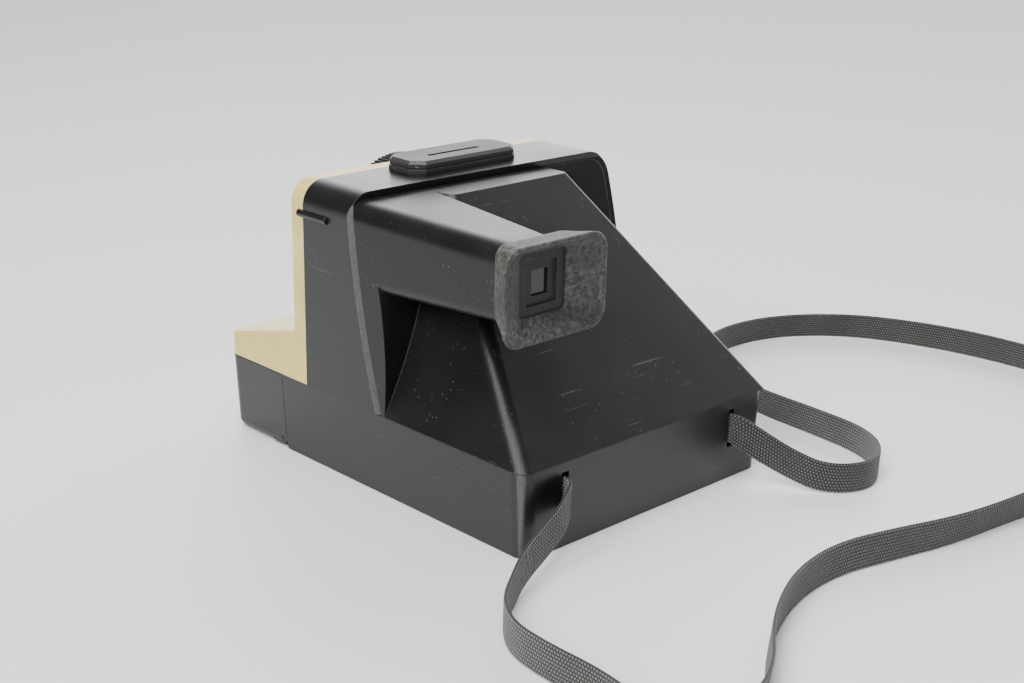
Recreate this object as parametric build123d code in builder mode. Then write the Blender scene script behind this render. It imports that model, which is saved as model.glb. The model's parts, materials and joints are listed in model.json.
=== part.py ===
from build123d import *
import os
from math import atan2, cos, degrees, pi, radians, sin, sqrt, tan

# A box-type instant camera with a neck strap. Millimetres, +Z up.
# The origin is on the surface that it stands on, under the middle of its base.
# The lens faces -Y and the eyecup faces +Y. The viewfinder is on the +X side.

# Overall sizes
BODY_WIDTH = 112.0
BODY_LENGTH = 146.0
BASE_HEIGHT = 27.0
BODY_HEIGHT = 94.8
WALL = 2.2
BASE_DRAFT = 1.6  # how far each side of the base leans in at its foot
CORNER_RADIUS = 5.0
TOP_RADIUS = 8.0

HALF_WIDTH = BODY_WIDTH / 2
FRONT = -BODY_LENGTH / 2
REAR = BODY_LENGTH / 2
INNER_HALF = HALF_WIDTH - WALL
BASE_INNER = HALF_WIDTH - BASE_DRAFT - WALL
FLOOR_TOP = WALL + 0.2
ROOF_UNDER = BASE_HEIGHT - WALL

# Upright housing: the seams between its front, middle and rear shells
SHELF_LENGTH = 38.0
FACE_Y = FRONT + SHELF_LENGTH  # front face of the upright
FRONT_SEAM = FACE_Y + 6.7  # front cover meets the main body
# stations along the camera at the foot, waist and head of each seam
SEAM_FOOT, SEAM_WAIST, SEAM_HEAD = FACE_Y + 43.6, FACE_Y + 34.4, FACE_Y + 30.2
SLAB_FOOT, SLAB_WAIST, SLAB_HEAD = SEAM_FOOT + 2.7, SEAM_WAIST + 10.6, SEAM_HEAD + 5.3
FAR_FOOT, FAR_WAIST, FAR_HEAD = SEAM_FOOT + 0.9, SEAM_WAIST + 5.6, SEAM_HEAD + 2.0
WAIST_SHARE = 0.54  # height of the waist points between base and cover top
SHELF_FRONT_RISE = 7.3  # shelf above the base at its front edge
SHELF_REAR_RISE = 17.0

# Rear cover: a truncated pyramid with the viewfinder tunnel on its +X side
COVER_STEP = 2.3  # cover top below the body top
COVER_TOP = BODY_HEIGHT - COVER_STEP
FOLD_Y = SEAM_HEAD + 12.8  # where the flat top turns into the slope
COVER_TOP_INSET = 30.0  # the flat top's edge inside the side of the body
COVER_TOP_HALF = HALF_WIDTH - COVER_TOP_INSET
SIDE_LEAN = (HALF_WIDTH - COVER_TOP_HALF) / (COVER_TOP - BASE_HEIGHT)
RIDGE_RADIUS = 5.0
FAR_RIDGE_RADIUS = 2.0
COVER_EDGE_RADIUS = 6.0
SLOPE_RUN = REAR - FOLD_Y
SLOPE_RISE = COVER_TOP - BASE_HEIGHT
SLOPE_ANGLE = atan2(SLOPE_RISE, SLOPE_RUN)

# Viewfinder
VIEW_X = HALF_WIDTH - 16.0
VIEW_Z = COVER_TOP - 13.0
TUNNEL_START = SLAB_HEAD - 0.3
TUNNEL_END = REAR - 12.0
TUNNEL_TOP_EDGE = HALF_WIDTH - 18.5  # inner top edge of the tunnel at its eyecup end
TUNNEL_DEPTH_HEAD = 27.0  # tunnel height where it leaves the upright
TUNNEL_DEPTH_END = 23.0
TUNNEL_WALL = 1.6
TUNNEL_UNDER_RADIUS = 4.0
SEAM_BEVEL = 1.6
PANEL_CLEARANCE = 0.08
EYE_WINDOW = 18.6
EYE_LENS = 9.4
TUBE_WALL = 1.0
WINDOW_WIDTH, WINDOW_HEIGHT = 20.0, 16.0

# Eyecup
CUP_X, CUP_Z = VIEW_X - 1.4, VIEW_Z - 1.5
CUP_WIDTH, CUP_HEIGHT = 41.5, 29.4
CUP_REACH = 6.6  # mouth beyond the end of the tunnel
CUP_LIP = 2.0
CUP_CORNER = 6.0

# Film door and rollers
DOOR_SEAM = FRONT + 31.0
PIN_OFFSET = 3.0  # hinge pin ahead of the door seam
PIN_Z = 3.6
PIN_RADIUS = 1.25
RUN_CLEARANCE = 0.05
SEAM_GAP = 0.3
KNUCKLE_RADIUS = 2.7
ROLLER_RADIUS = 3.85
ROLLER_PITCH = 8.0  # distance between the two roller axes
ROLLER_Y = FRONT + 13.0
NIP_Z = BASE_HEIGHT - 2.0
SHAFT_RADIUS = 1.25
BRACKET_HALF = HALF_WIDTH - 6.0
ROLLER_HALF = BRACKET_HALF - 3.0
EXIT_HALF = ROLLER_HALF - 1.0
EXIT_DROP = 3.0

# Drive train on the -X side
MODULE = 0.5
PINION_TEETH, DRIVE_TEETH, ROLLER_TEETH = 10, 28, 16
GEAR_X = 4.0 - HALF_WIDTH
GEAR_THICKNESS = 1.8
MESH_SLACK = 0.12
MOTOR_Y, MOTOR_Z = DOOR_SEAM - 1.5, BASE_HEIGHT + 5.5
MOTOR_RADIUS, MOTOR_LENGTH = 4.8, 24.0

# Lens, shutter and controls on the front
LENS_Z = BODY_HEIGHT - 25.3
RING_RADIUS = 24.0
RING_FRONT, RING_BACK = FACE_Y - 15.0, FACE_Y - 2.4
MOUNT_RADIUS = 12.0
MOUNT_BORE = 9.5
FLANGE_RADIUS = 17.0
FLANGE_THICKNESS = 2.0
KNURL_COUNT, KNURL_DEPTH = 90, 0.45
FRAME_Y = FACE_Y + 18.0  # front face of the inner frame
FRAME_THICKNESS = 2.0
SHUTTER_FRONT = FRAME_Y - 7.0
SHUTTER_HALF, SHUTTER_LOW, SHUTTER_HIGH = 24.0, LENS_Z - 14.5, LENS_Z + 16.5
BLADE_THICKNESS = 0.4
CONTROL_X = 17.0 - HALF_WIDTH
EYE_Z, DIAL_Z, BUTTON_Z = LENS_Z + 11.5, LENS_Z - 3.0, LENS_Z - 17.5
EYE_RADIUS = 5.5
DIAL_SHAFT_RADIUS = 2.0
DIAL_RADIUS = 6.5
BUTTON_RADIUS = 5.0
BUTTON_STROKE = 2.0

# Flash socket on top
SOCKET_HALF = 23.5
SOCKET_FRONT, SOCKET_BACK = FRONT_SEAM - 0.7, FRONT_SEAM + 17.3
SOCKET_RISE = 4.2
SOCKET_SLOT_LENGTH, SOCKET_SLOT_WIDTH = 22.5, 1.8
SOCKET_SLOT_X, SOCKET_SLOT_Y = 1.2, SOCKET_FRONT + 10.5

# Film chamber
CHAMBER_HALF = HALF_WIDTH - 8.8
CHAMBER_WALL = 1.4
CHAMBER_TOP = ROOF_UNDER - 2.8
CHAMBER_REAR = REAR - 9.0
PICTURE_HALF = 39.5
PICTURE_FRONT = CHAMBER_REAR - 85.0

# Small pieces inside
PIN_HALF = HALF_WIDTH - 6.0
LUG_X = (22.0 - HALF_WIDTH, 0.0, HALF_WIDTH - 22.0)  # middles of the body's hinge lugs
LUG_HALF = 3.0
KNUCKLE_END = HALF_WIDTH - 1.7
PINION_SHAFT = 0.75
PLATE_THICKNESS = 0.8
PICK_SLOT_Y = (CHAMBER_REAR - 18.0, CHAMBER_REAR - 8.0)
PICK_Z = CHAMBER_TOP - 6.0
CONTACT_X = 30.0
SHUTTER_BORE = 7.0
BLADE_BORE = 5.5
BLADE_TRAVEL = 6.0
COIL_RADIUS = 3.5
PLUNGER_RADIUS = 1.2
BOARD_THICKNESS = 1.6
BOARD_HALF = INNER_HALF - 9.8
MOUNT_FRONT = FACE_Y - 11.0
LENS_RADIUS = 10.0
LENS_EDGE = 1.5
LENS_BULGE = 0.9
RING_DISH = 1.4
TUBE_END_WIDTH, TUBE_END_HEIGHT = 8.4, 10.0
CUP_FOOT_INNER = HALF_WIDTH - 28.6
CUP_FLOOR = 2.4
MASK_WIDTH, MASK_HEIGHT = 6.6, 7.6
MIRROR_MARGIN = 4.0
MIRROR_THICKNESS = 2.0
SOCKET_CORNER = 4.0
CATCH_Y = (FRONT_SEAM - 2.0, FRONT_SEAM + 12.5)
CATCH_Z = BODY_HEIGHT - 10.3
CATCH_RADIUS = 1.2
SPRING_WIRE = 0.35
BRACKET_PLATE = 1.2
BRACKET_REACH = 3.6

# Strap
STRAP_WIDTH = 10.0
STRAP_X, STRAP_Z = HALF_WIDTH - 17.5, BASE_HEIGHT - 9.5
STRAP_SLOT_WIDTH, STRAP_SLOT_HEIGHT = 3.0, 13.0
STRAP_PIN_RADIUS = 1.2

SCREW_X = HALF_WIDTH - 4.8
SCREW_Y = (FACE_Y + 1.8, REAR - 12.0)
SCREW_RADIUS, SCREW_HEAD_RADIUS, SCREW_HEAD_HEIGHT = 1.2, 2.3, 1.5
BOSS_RADIUS = 2.9
POST_HEIGHT = 4.0

# Door latch
LATCH_SLOT_Y = (DOOR_SEAM + 1.0, DOOR_SEAM + 5.0)
LATCH_SLOT_Z = (BASE_HEIGHT - 18.4, BASE_HEIGHT - 7.4)
LATCH_HEIGHT = 6.0
LATCH_STROKE = 4.0
LATCH_CLEARANCE = 0.3

PIN_Y = DOOR_SEAM - PIN_OFFSET
SEAM_WAIST_Z = BASE_HEIGHT + WAIST_SHARE * SLOPE_RISE
SEAM_CURVE = ((SEAM_FOOT, BASE_HEIGHT), (SEAM_WAIST, SEAM_WAIST_Z), (SEAM_HEAD, COVER_TOP))
SLAB_CURVE = ((SLAB_FOOT, BASE_HEIGHT), (SLAB_WAIST, SEAM_WAIST_Z), (SLAB_HEAD, COVER_TOP))
FAR_CURVE = ((FAR_FOOT, BASE_HEIGHT), (FAR_WAIST, SEAM_WAIST_Z), (FAR_HEAD, COVER_TOP))
LOWER_ROLLER_Z = NIP_Z - ROLLER_PITCH / 2
UPPER_ROLLER_Z = NIP_Z + ROLLER_PITCH / 2
TURN = {"X": (0, 90, 0), "Y": (90, 0, 0), "Z": (0, 0, 0)}


def block(x, y, z, mode=Mode.ADD):
    """Box between a low and a high value on each axis."""
    with Locations(((x[0] + x[1]) / 2, (y[0] + y[1]) / 2, (z[0] + z[1]) / 2)):
        Box(x[1] - x[0], y[1] - y[0], z[1] - z[0], mode=mode)


def rod(axis, radius, span, across, mode=Mode.ADD):
    """Cylinder along an axis between two stations, at the other two coordinates."""
    middle = (span[0] + span[1]) / 2
    centre = {
        "X": (middle, across[0], across[1]),
        "Y": (across[0], middle, across[1]),
        "Z": (across[0], across[1], middle),
    }[axis]
    with Locations(centre):
        Cylinder(radius, span[1] - span[0], rotation=TURN[axis], mode=mode)


def finish(builder, label):
    """Name a finished piece and write its STEP file."""
    builder.part.label = label
    export_step(builder.part, f"parts/{label}.step")


def slope_y(z, inset=0.0):
    """Y of the rear slope at a height, moved in square to the slope."""
    return REAR - SLOPE_RUN * (z - BASE_HEIGHT) / SLOPE_RISE - inset / sin(SLOPE_ANGLE)


def side_x(z, inset=0.0):
    """X of the cover's leaning side at a height, moved in square to it."""
    return HALF_WIDTH - SIDE_LEAN * (z - BASE_HEIGHT) - inset * sqrt(1 + SIDE_LEAN**2)


def shelf_z(y):
    """Height of the front shelf's top at a distance along the camera."""
    share = (y - FRONT) / (FACE_Y - FRONT)
    return BASE_HEIGHT + SHELF_FRONT_RISE + share * (SHELF_REAR_RISE - SHELF_FRONT_RISE)


def base_section(inset, low, high):
    """Corners of the base's cross-section between two heights, with its leaning sides."""
    foot = HALF_WIDTH - BASE_DRAFT * (1 - low / BASE_HEIGHT) - inset
    head = HALF_WIDTH - BASE_DRAFT * (1 - high / BASE_HEIGHT) - inset
    return (-foot, low), (foot, low), (head, high), (-head, high)


def tunnel_section(station, inset):
    """Corners of the viewfinder tunnel's cross-section in X and Z; the hollow is cut at its upper corner."""
    share = (station - TUNNEL_START) / (TUNNEL_END - TUNNEL_START)
    edge = COVER_TOP_HALF + share * (TUNNEL_TOP_EDGE - COVER_TOP_HALF) + inset * sqrt(1 + SIDE_LEAN**2)
    depth = TUNNEL_DEPTH_HEAD + share * (TUNNEL_DEPTH_END - TUNNEL_DEPTH_HEAD) - inset
    lower = [
        (edge - SIDE_LEAN * inset, COVER_TOP - inset),
        (edge - SIDE_LEAN * depth, COVER_TOP - depth),
        (HALF_WIDTH - inset, COVER_TOP - depth),
    ]
    if not inset:
        return [(HALF_WIDTH, COVER_TOP)] + lower
    cut = inset + 0.6 * COVER_EDGE_RADIUS
    return [(HALF_WIDTH - inset, COVER_TOP - cut), (HALF_WIDTH - cut, COVER_TOP - inset)] + lower


def gear_outline(teeth, phase):
    """Corners of a gear's tooth outline; phase is the first tooth's angle in degrees."""
    pitch = MODULE * teeth / 2
    corners = []
    for tooth in range(teeth):
        middle = radians(phase) + 2 * pi * tooth / teeth
        for reach, half in ((-1.15, 0.62), (-0.05, 0.36), (0.85, 0.13)):
            radius = pitch + reach * MODULE
            corners.append((radius, middle - half * pi * MODULE / 2 / radius))
        for reach, half in ((0.85, 0.13), (-0.05, 0.36), (-1.15, 0.62)):
            radius = pitch + reach * MODULE
            corners.append((radius, middle + half * pi * MODULE / 2 / radius))
    return [(radius * cos(angle), radius * sin(angle)) for radius, angle in corners]


def knurl_outline(radius, count, depth):
    """Corners of a knurled edge with small peaks all round."""
    corners = []
    for index in range(2 * count):
        reach = radius if index % 2 == 0 else radius - depth
        corners.append((reach * cos(pi * index / count), reach * sin(pi * index / count)))
    return corners


os.makedirs("parts", exist_ok=True)

# The groove along the seam on the viewfinder's side is cut from both pieces that meet there.
with BuildPart() as seam_groove:
    for outward, half_gap in ((-SEAM_BEVEL, 0.02), (0.2, SEAM_BEVEL + 0.2)):
        near_curve = [(y - half_gap, z) for y, z in SEAM_CURVE]
        far_curve = [(y + half_gap, z) for y, z in SEAM_CURVE]
        with BuildSketch(Plane.YZ.offset(HALF_WIDTH + outward)):
            with BuildLine():
                ThreePointArc(*near_curve)
                Polyline(
                    near_curve[2],
                    (near_curve[2][0], BODY_HEIGHT),
                    (far_curve[2][0], BODY_HEIGHT),
                    far_curve[2],
                )
                ThreePointArc(*far_curve)
                Line(far_curve[0], near_curve[0])
            make_face()
    loft(ruled=True)

# ---------------------------------------------------------------- main body
with BuildPart() as main_body:
    with BuildSketch(Plane.XZ.offset(-REAR)):
        Polygon(*base_section(0, 0, BASE_HEIGHT), align=None)
    extrude(amount=REAR - DOOR_SEAM)
    upright_edges = main_body.edges().group_by(Axis.Y)[-1].filter_by(Axis.X, reverse=True)
    fillet(upright_edges, CORNER_RADIUS)
    fillet(main_body.edges().group_by(Axis.Z)[0].sort_by(Axis.Y)[0], 1.0)
    # arch; away from the viewfinder it reaches further back, as a rim round the cover's panel
    for stations in ((-HALF_WIDTH, COVER_TOP_HALF), (COVER_TOP_HALF, HALF_WIDTH)):
        for station in stations:
            curve = FAR_CURVE if station < 0 else SEAM_CURVE
            with BuildSketch(Plane.YZ.offset(station)):
                with BuildLine():
                    Polyline(
                        curve[2],
                        (curve[2][0], BODY_HEIGHT),
                        (FRONT_SEAM, BODY_HEIGHT),
                        (FRONT_SEAM, BASE_HEIGHT),
                        curve[0],
                    )
                    ThreePointArc(*curve)
                make_face()
        loft(ruled=True)
    top_edges = main_body.edges().filter_by(Axis.Y).group_by(Axis.Z)[-1]
    fillet(top_edges.filter_by(lambda e: abs(e.center().X) > HALF_WIDTH - 0.1), TOP_RADIUS)
    add(seam_groove.part, mode=Mode.SUBTRACT)
    # hollow arch, open at its front and rear
    with BuildSketch(Plane.XZ.offset(-REAR)) as arch_hollow:
        with Locations((0, (BASE_HEIGHT + BODY_HEIGHT - WALL) / 2)):
            Rectangle(2 * INNER_HALF, BODY_HEIGHT - WALL - BASE_HEIGHT)
        fillet(arch_hollow.vertices().group_by(Axis.Y)[-1], TOP_RADIUS - WALL)
    extrude(amount=REAR - DOOR_SEAM, mode=Mode.SUBTRACT)
    # hollow base, open at the front, with a window over the film
    with BuildSketch(Plane.XZ.offset(WALL - REAR)):
        Polygon(*base_section(WALL, FLOOR_TOP, ROOF_UNDER), align=None)
    extrude(amount=REAR - WALL - DOOR_SEAM, mode=Mode.SUBTRACT)
    film_window = (FRAME_Y + FRAME_THICKNESS, CHAMBER_REAR)
    block((4 - INNER_HALF, INNER_HALF - 4), film_window, (ROOF_UNDER - 1, BASE_HEIGHT + 1), Mode.SUBTRACT)
    # strap slots in the rear wall
    for side in (-1, 1):
        slot_x = (side * STRAP_X - STRAP_SLOT_WIDTH / 2, side * STRAP_X + STRAP_SLOT_WIDTH / 2)
        slot_z = (STRAP_Z - STRAP_SLOT_HEIGHT / 2, STRAP_Z + STRAP_SLOT_HEIGHT / 2)
        block(slot_x, (REAR - 2 * WALL, REAR + 1), slot_z, Mode.SUBTRACT)
    # hinge lugs that carry the door's pin
    for lug_x in LUG_X:
        lug = (lug_x - LUG_HALF, lug_x + LUG_HALF)
        block(lug, (PIN_Y, DOOR_SEAM + 1), (1.0, PIN_Z + KNUCKLE_RADIUS))
        rod("X", KNUCKLE_RADIUS, lug, (PIN_Y, PIN_Z))
    rod("X", PIN_RADIUS, (-HALF_WIDTH, HALF_WIDTH), (PIN_Y, PIN_Z), Mode.SUBTRACT)
    # screw bosses between floor and roof
    for side in (-1, 1):
        for screw_y in SCREW_Y:
            at = (side * SCREW_X, screw_y)
            rod("Z", BOSS_RADIUS, (FLOOR_TOP - 1, ROOF_UNDER + 1), at)
            rod("Z", SCREW_RADIUS, (-1, BASE_HEIGHT + 1), at, Mode.SUBTRACT)
            rod("Z", SCREW_HEAD_RADIUS + 0.3, (-1, SCREW_HEAD_HEIGHT + 0.6), at, Mode.SUBTRACT)
    # slot for the flash contacts, and one for the door latch
    slot_x_range = (SOCKET_SLOT_X - SOCKET_SLOT_LENGTH / 2, SOCKET_SLOT_X + SOCKET_SLOT_LENGTH / 2)
    slot_y_range = (SOCKET_SLOT_Y - SOCKET_SLOT_WIDTH / 2, SOCKET_SLOT_Y + SOCKET_SLOT_WIDTH / 2)
    block(slot_x_range, slot_y_range, (BODY_HEIGHT - 2 * WALL, BODY_HEIGHT + 1), Mode.SUBTRACT)
    block((-HALF_WIDTH - 1, -BASE_INNER + 1), LATCH_SLOT_Y, LATCH_SLOT_Z, Mode.SUBTRACT)
finish(main_body, "main_body")

# --------------------------------------------------------------- rear cover
with BuildPart() as rear_cover:
    with BuildSketch(Plane.XY.offset(BASE_HEIGHT)):
        with Locations((0, (REAR + FAR_FOOT - 1) / 2)):
            Rectangle(BODY_WIDTH, REAR - FAR_FOOT + 1)
    with BuildSketch(Plane.XY.offset(COVER_TOP)):
        with Locations((0, (FOLD_Y + SEAM_HEAD + 0.5) / 2)):
            Rectangle(2 * COVER_TOP_HALF, FOLD_Y - SEAM_HEAD - 0.5)
    loft()
    slope_face = rear_cover.faces().sort_by(Axis.Y)[-1]
    ridges = slope_face.edges().filter_by(Axis.X, reverse=True).sort_by(Axis.X)
    fold = slope_face.edges().filter_by(Axis.X).sort_by(Axis.Z)[-1]
    fillet(ridges[-1], RIDGE_RADIUS)
    fillet(rear_cover.edges().filter_by(lambda e: e.center().X < -COVER_TOP_HALF and e.center().Y > 30)
           .sort_by(Axis.Z)[-1], FAR_RIDGE_RADIUS)
    # panel inside the arch's rim, and slab behind the arch on the viewfinder's side
    panel_edge = PANEL_CLEARANCE - INNER_HALF
    for curve, start, end in (
        (FAR_CURVE, panel_edge, -COVER_TOP_HALF),
        (SLAB_CURVE, -COVER_TOP_HALF, HALF_WIDTH),
    ):
        with BuildSketch(Plane.YZ.offset(start)):
            with BuildLine():
                ThreePointArc(*SEAM_CURVE)
                Line(SEAM_CURVE[2], curve[2])
                ThreePointArc(*curve)
                Line(curve[0], SEAM_CURVE[0])
            make_face()
        extrude(amount=end - start)
    # viewfinder tunnel
    for station in (TUNNEL_START, TUNNEL_END):
        with BuildSketch(Plane.XZ.offset(-station)):
            Polygon(*tunnel_section(station, 0), align=None)
    loft(ruled=True)
    for side in (-1, 0):
        head_edges = rear_cover.edges().filter_by(Axis.Y).filter_by(lambda e: e.center().Z > COVER_TOP - 0.1)
        fillet(head_edges.sort_by(Axis.X)[side], COVER_EDGE_RADIUS)
    under_edge = (
        rear_cover.edges()
        .filter_by(lambda e: e.center().X > HALF_WIDTH - 0.1)
        .filter_by(lambda e: e.center().Y > SLAB_WAIST + 10 and e.center().Z > SEAM_WAIST_Z)
    )
    fillet(under_edge.sort_by(Axis.Z)[0], TUNNEL_UNDER_RADIUS)
    add(seam_groove.part, mode=Mode.SUBTRACT)
    # room for the arch's rim
    with BuildSketch(Plane.YZ.offset(panel_edge)):
        with BuildLine():
            Polyline(FAR_CURVE[2], (FRONT, COVER_TOP), (FRONT, BASE_HEIGHT), FAR_CURVE[0])
            ThreePointArc(*FAR_CURVE)
        make_face()
    extrude(amount=-HALF_WIDTH, mode=Mode.SUBTRACT)
    # hollow inside: the pyramid, the slab, the panel and the tunnel
    for z in (BASE_HEIGHT, COVER_TOP - WALL):
        with BuildSketch(Plane.XY.offset(z)):
            with Locations((0, (slope_y(z, WALL) + FRONT_SEAM) / 2)):
                Rectangle(2 * side_x(z, WALL), slope_y(z, WALL) - FRONT_SEAM)
    loft(mode=Mode.SUBTRACT)
    for curve, start, end, top in (
        (SLAB_CURVE, -COVER_TOP_HALF, INNER_HALF, COVER_TOP - COVER_EDGE_RADIUS),
        (SLAB_CURVE, -COVER_TOP_HALF, HALF_WIDTH - COVER_EDGE_RADIUS, COVER_TOP - WALL),
        (FAR_CURVE, -HALF_WIDTH, -COVER_TOP_HALF, COVER_TOP - WALL),
    ):
        with BuildSketch(Plane.YZ.offset(start)):
            with BuildLine():
                inside = [(y - WALL, z) for y, z in curve]
                Polyline(
                    inside[2], (FRONT_SEAM, COVER_TOP), (FRONT_SEAM, BASE_HEIGHT - 1),
                    (inside[0][0], BASE_HEIGHT - 1), inside[0],
                )
                ThreePointArc(*inside)
            make_face()
            with Locations((0, top)):
                Rectangle(2 * REAR, COVER_TOP, align=(Align.CENTER, Align.MIN), mode=Mode.SUBTRACT)
        extrude(amount=end - start, mode=Mode.SUBTRACT)
    for station in (TUNNEL_START - 1, TUNNEL_END - TUNNEL_WALL):
        with BuildSketch(Plane.XZ.offset(-station)):
            Polygon(*tunnel_section(station, TUNNEL_WALL), align=None)
    loft(ruled=True, mode=Mode.SUBTRACT)
    block(
        (VIEW_X - EYE_LENS / 2, VIEW_X + EYE_LENS / 2),
        (TUNNEL_END - 2 * TUNNEL_WALL, TUNNEL_END + 1),
        (VIEW_Z - EYE_LENS / 2, VIEW_Z + EYE_LENS / 2),
        Mode.SUBTRACT,
    )
    for side in (-1, 1):
        at = (side * SCREW_X, SCREW_Y[1])
        rod("Z", BOSS_RADIUS, (BASE_HEIGHT, BASE_HEIGHT + POST_HEIGHT), at)
        rod("Z", SCREW_RADIUS, (BASE_HEIGHT - 1, BASE_HEIGHT + POST_HEIGHT - 0.5), at, Mode.SUBTRACT)
finish(rear_cover, "rear_cover")

# -------------------------------------------------------------- front cover
with BuildPart() as front_cover:
    with BuildSketch(Plane.YZ):
        Polygon(
            (FRONT, BASE_HEIGHT),
            (FRONT_SEAM, BASE_HEIGHT),
            (FRONT_SEAM, BODY_HEIGHT),
            (FACE_Y, BODY_HEIGHT),
            (FACE_Y, shelf_z(FACE_Y)),
            (FRONT, shelf_z(FRONT)),
            align=None,
        )
    extrude(amount=HALF_WIDTH, both=True)
    fillet(front_cover.edges().filter_by(Axis.Y).group_by(Axis.Z)[-1], TOP_RADIUS)
    fillet(front_cover.edges().filter_by(Axis.Z).group_by(Axis.Y)[0], CORNER_RADIUS)
    upright_face = front_cover.faces().filter_by(Axis.Y).sort_by(Axis.Y)[1]
    fillet(upright_face.edges().sort_by(Axis.Z)[1:], 1.2)
    with BuildSketch(Plane.XZ.offset(-FRONT_SEAM - 1)) as face_hollow:
        with Locations((0, (BASE_HEIGHT + BODY_HEIGHT - WALL) / 2)):
            Rectangle(2 * INNER_HALF, BODY_HEIGHT - WALL - BASE_HEIGHT)
        fillet(face_hollow.vertices().group_by(Axis.Y)[-1], TOP_RADIUS - WALL)
    extrude(amount=FRONT_SEAM + 1 - FACE_Y - WALL, mode=Mode.SUBTRACT)
    with BuildSketch(Plane.YZ):
        Polygon(
            (FRONT + WALL, BASE_HEIGHT - 1),
            (FRONT_SEAM + 1, BASE_HEIGHT - 1),
            (FRONT_SEAM + 1, shelf_z(FACE_Y)),
            (FACE_Y + WALL, shelf_z(FACE_Y + WALL) - WALL),
            (FRONT + WALL, shelf_z(FRONT + WALL) - WALL),
            align=None,
        )
    extrude(amount=INNER_HALF, both=True, mode=Mode.SUBTRACT)
    for side in (-1, 1):
        at = (side * SCREW_X, SCREW_Y[0])
        rod("Z", BOSS_RADIUS, (BASE_HEIGHT, shelf_z(FACE_Y) - WALL / 2), at)
        rod("Z", SCREW_RADIUS, (BASE_HEIGHT - 1, BASE_HEIGHT + 6), at, Mode.SUBTRACT)
    through = (FACE_Y - 1, FACE_Y + WALL + 1)
    rod("Y", MOUNT_RADIUS, through, (0, LENS_Z), Mode.SUBTRACT)
    rod("Y", EYE_RADIUS, through, (CONTROL_X, EYE_Z), Mode.SUBTRACT)
    rod("Y", DIAL_SHAFT_RADIUS + RUN_CLEARANCE, through, (CONTROL_X, DIAL_Z), Mode.SUBTRACT)
    rod("Y", BUTTON_RADIUS + RUN_CLEARANCE, through, (CONTROL_X, BUTTON_Z), Mode.SUBTRACT)
    block(
        (VIEW_X - WINDOW_WIDTH / 2, VIEW_X + WINDOW_WIDTH / 2),
        through,
        (VIEW_Z - WINDOW_HEIGHT / 2, VIEW_Z + WINDOW_HEIGHT / 2),
        Mode.SUBTRACT,
    )
finish(front_cover, "front_cover")

# ---------------------------------------------------------------- film door
with BuildPart() as film_door:
    with BuildSketch(Plane.XZ.offset(SEAM_GAP - DOOR_SEAM)):
        Polygon(*base_section(0, 0, BASE_HEIGHT - SEAM_GAP), align=None)
    extrude(amount=DOOR_SEAM - SEAM_GAP - FRONT)
    fillet(film_door.edges().group_by(Axis.Y)[0].filter_by(Axis.X, reverse=True), CORNER_RADIUS)
    fillet(film_door.faces().sort_by(Axis.Z)[0].edges().sort_by(Axis.Y)[0], CORNER_RADIUS - 2)
    with BuildSketch(Plane.XZ.offset(-DOOR_SEAM)):
        Polygon(*base_section(WALL, WALL, BASE_HEIGHT + 1), align=None)
    extrude(amount=DOOR_SEAM - FRONT - WALL, mode=Mode.SUBTRACT)
    exit_z = (BASE_HEIGHT - EXIT_DROP, BASE_HEIGHT)
    block((-EXIT_HALF, EXIT_HALF), (FRONT - 1, FRONT + 2 * WALL), exit_z, Mode.SUBTRACT)
    block((-HALF_WIDTH, HALF_WIDTH), (PIN_Y, DOOR_SEAM), (-1, PIN_Z), Mode.SUBTRACT)
    block((-HALF_WIDTH, HALF_WIDTH), (PIN_Y - 3.2, PIN_Y), (-1, PIN_Z - KNUCKLE_RADIUS), Mode.SUBTRACT)
    block((-INNER_HALF, INNER_HALF), (PIN_Y - 3.2, PIN_Y), (-1, WALL), Mode.SUBTRACT)
    stops = [-KNUCKLE_END] + [lug_x + side * (LUG_HALF + SEAM_GAP) for lug_x in LUG_X for side in (-1, 1)]
    stops.append(KNUCKLE_END)
    for knuckle in zip(stops[::2], stops[1::2]):
        rod("X", KNUCKLE_RADIUS, knuckle, (PIN_Y, PIN_Z))
        block(knuckle, (PIN_Y - 5.5, PIN_Y), (PIN_Z - KNUCKLE_RADIUS, PIN_Z))
    rod("X", PIN_RADIUS + RUN_CLEARANCE, (-PIN_HALF - 0.5, PIN_HALF + 0.5), (PIN_Y, PIN_Z), Mode.SUBTRACT)
finish(film_door, "film_door")

with BuildPart() as hinge_pin:
    rod("X", PIN_RADIUS, (-PIN_HALF, PIN_HALF), (PIN_Y, PIN_Z))
finish(hinge_pin, "hinge_pin")

with BuildPart() as roller_bracket:
    block((-BRACKET_HALF, BRACKET_HALF), (ROLLER_Y - 5, ROLLER_Y + 5), (WALL, WALL + BRACKET_PLATE))
    for side in (-1, 1):
        span = sorted((side * BRACKET_HALF, side * (BRACKET_HALF - BRACKET_PLATE)))
        block(span, (ROLLER_Y - BRACKET_REACH, ROLLER_Y + BRACKET_REACH), (WALL, UPPER_ROLLER_Z))
        rod("X", BRACKET_REACH, span, (ROLLER_Y, UPPER_ROLLER_Z))
    for axis_z in (LOWER_ROLLER_Z, UPPER_ROLLER_Z):
        rod("X", SHAFT_RADIUS + RUN_CLEARANCE, (-HALF_WIDTH, HALF_WIDTH), (ROLLER_Y, axis_z), Mode.SUBTRACT)
finish(roller_bracket, "roller_bracket")

with BuildPart() as upper_roller:
    rod("X", ROLLER_RADIUS, (-ROLLER_HALF, ROLLER_HALF), (ROLLER_Y, UPPER_ROLLER_Z))
    rod("X", SHAFT_RADIUS, (-BRACKET_HALF, BRACKET_HALF), (ROLLER_Y, UPPER_ROLLER_Z))
finish(upper_roller, "upper_roller")

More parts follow.
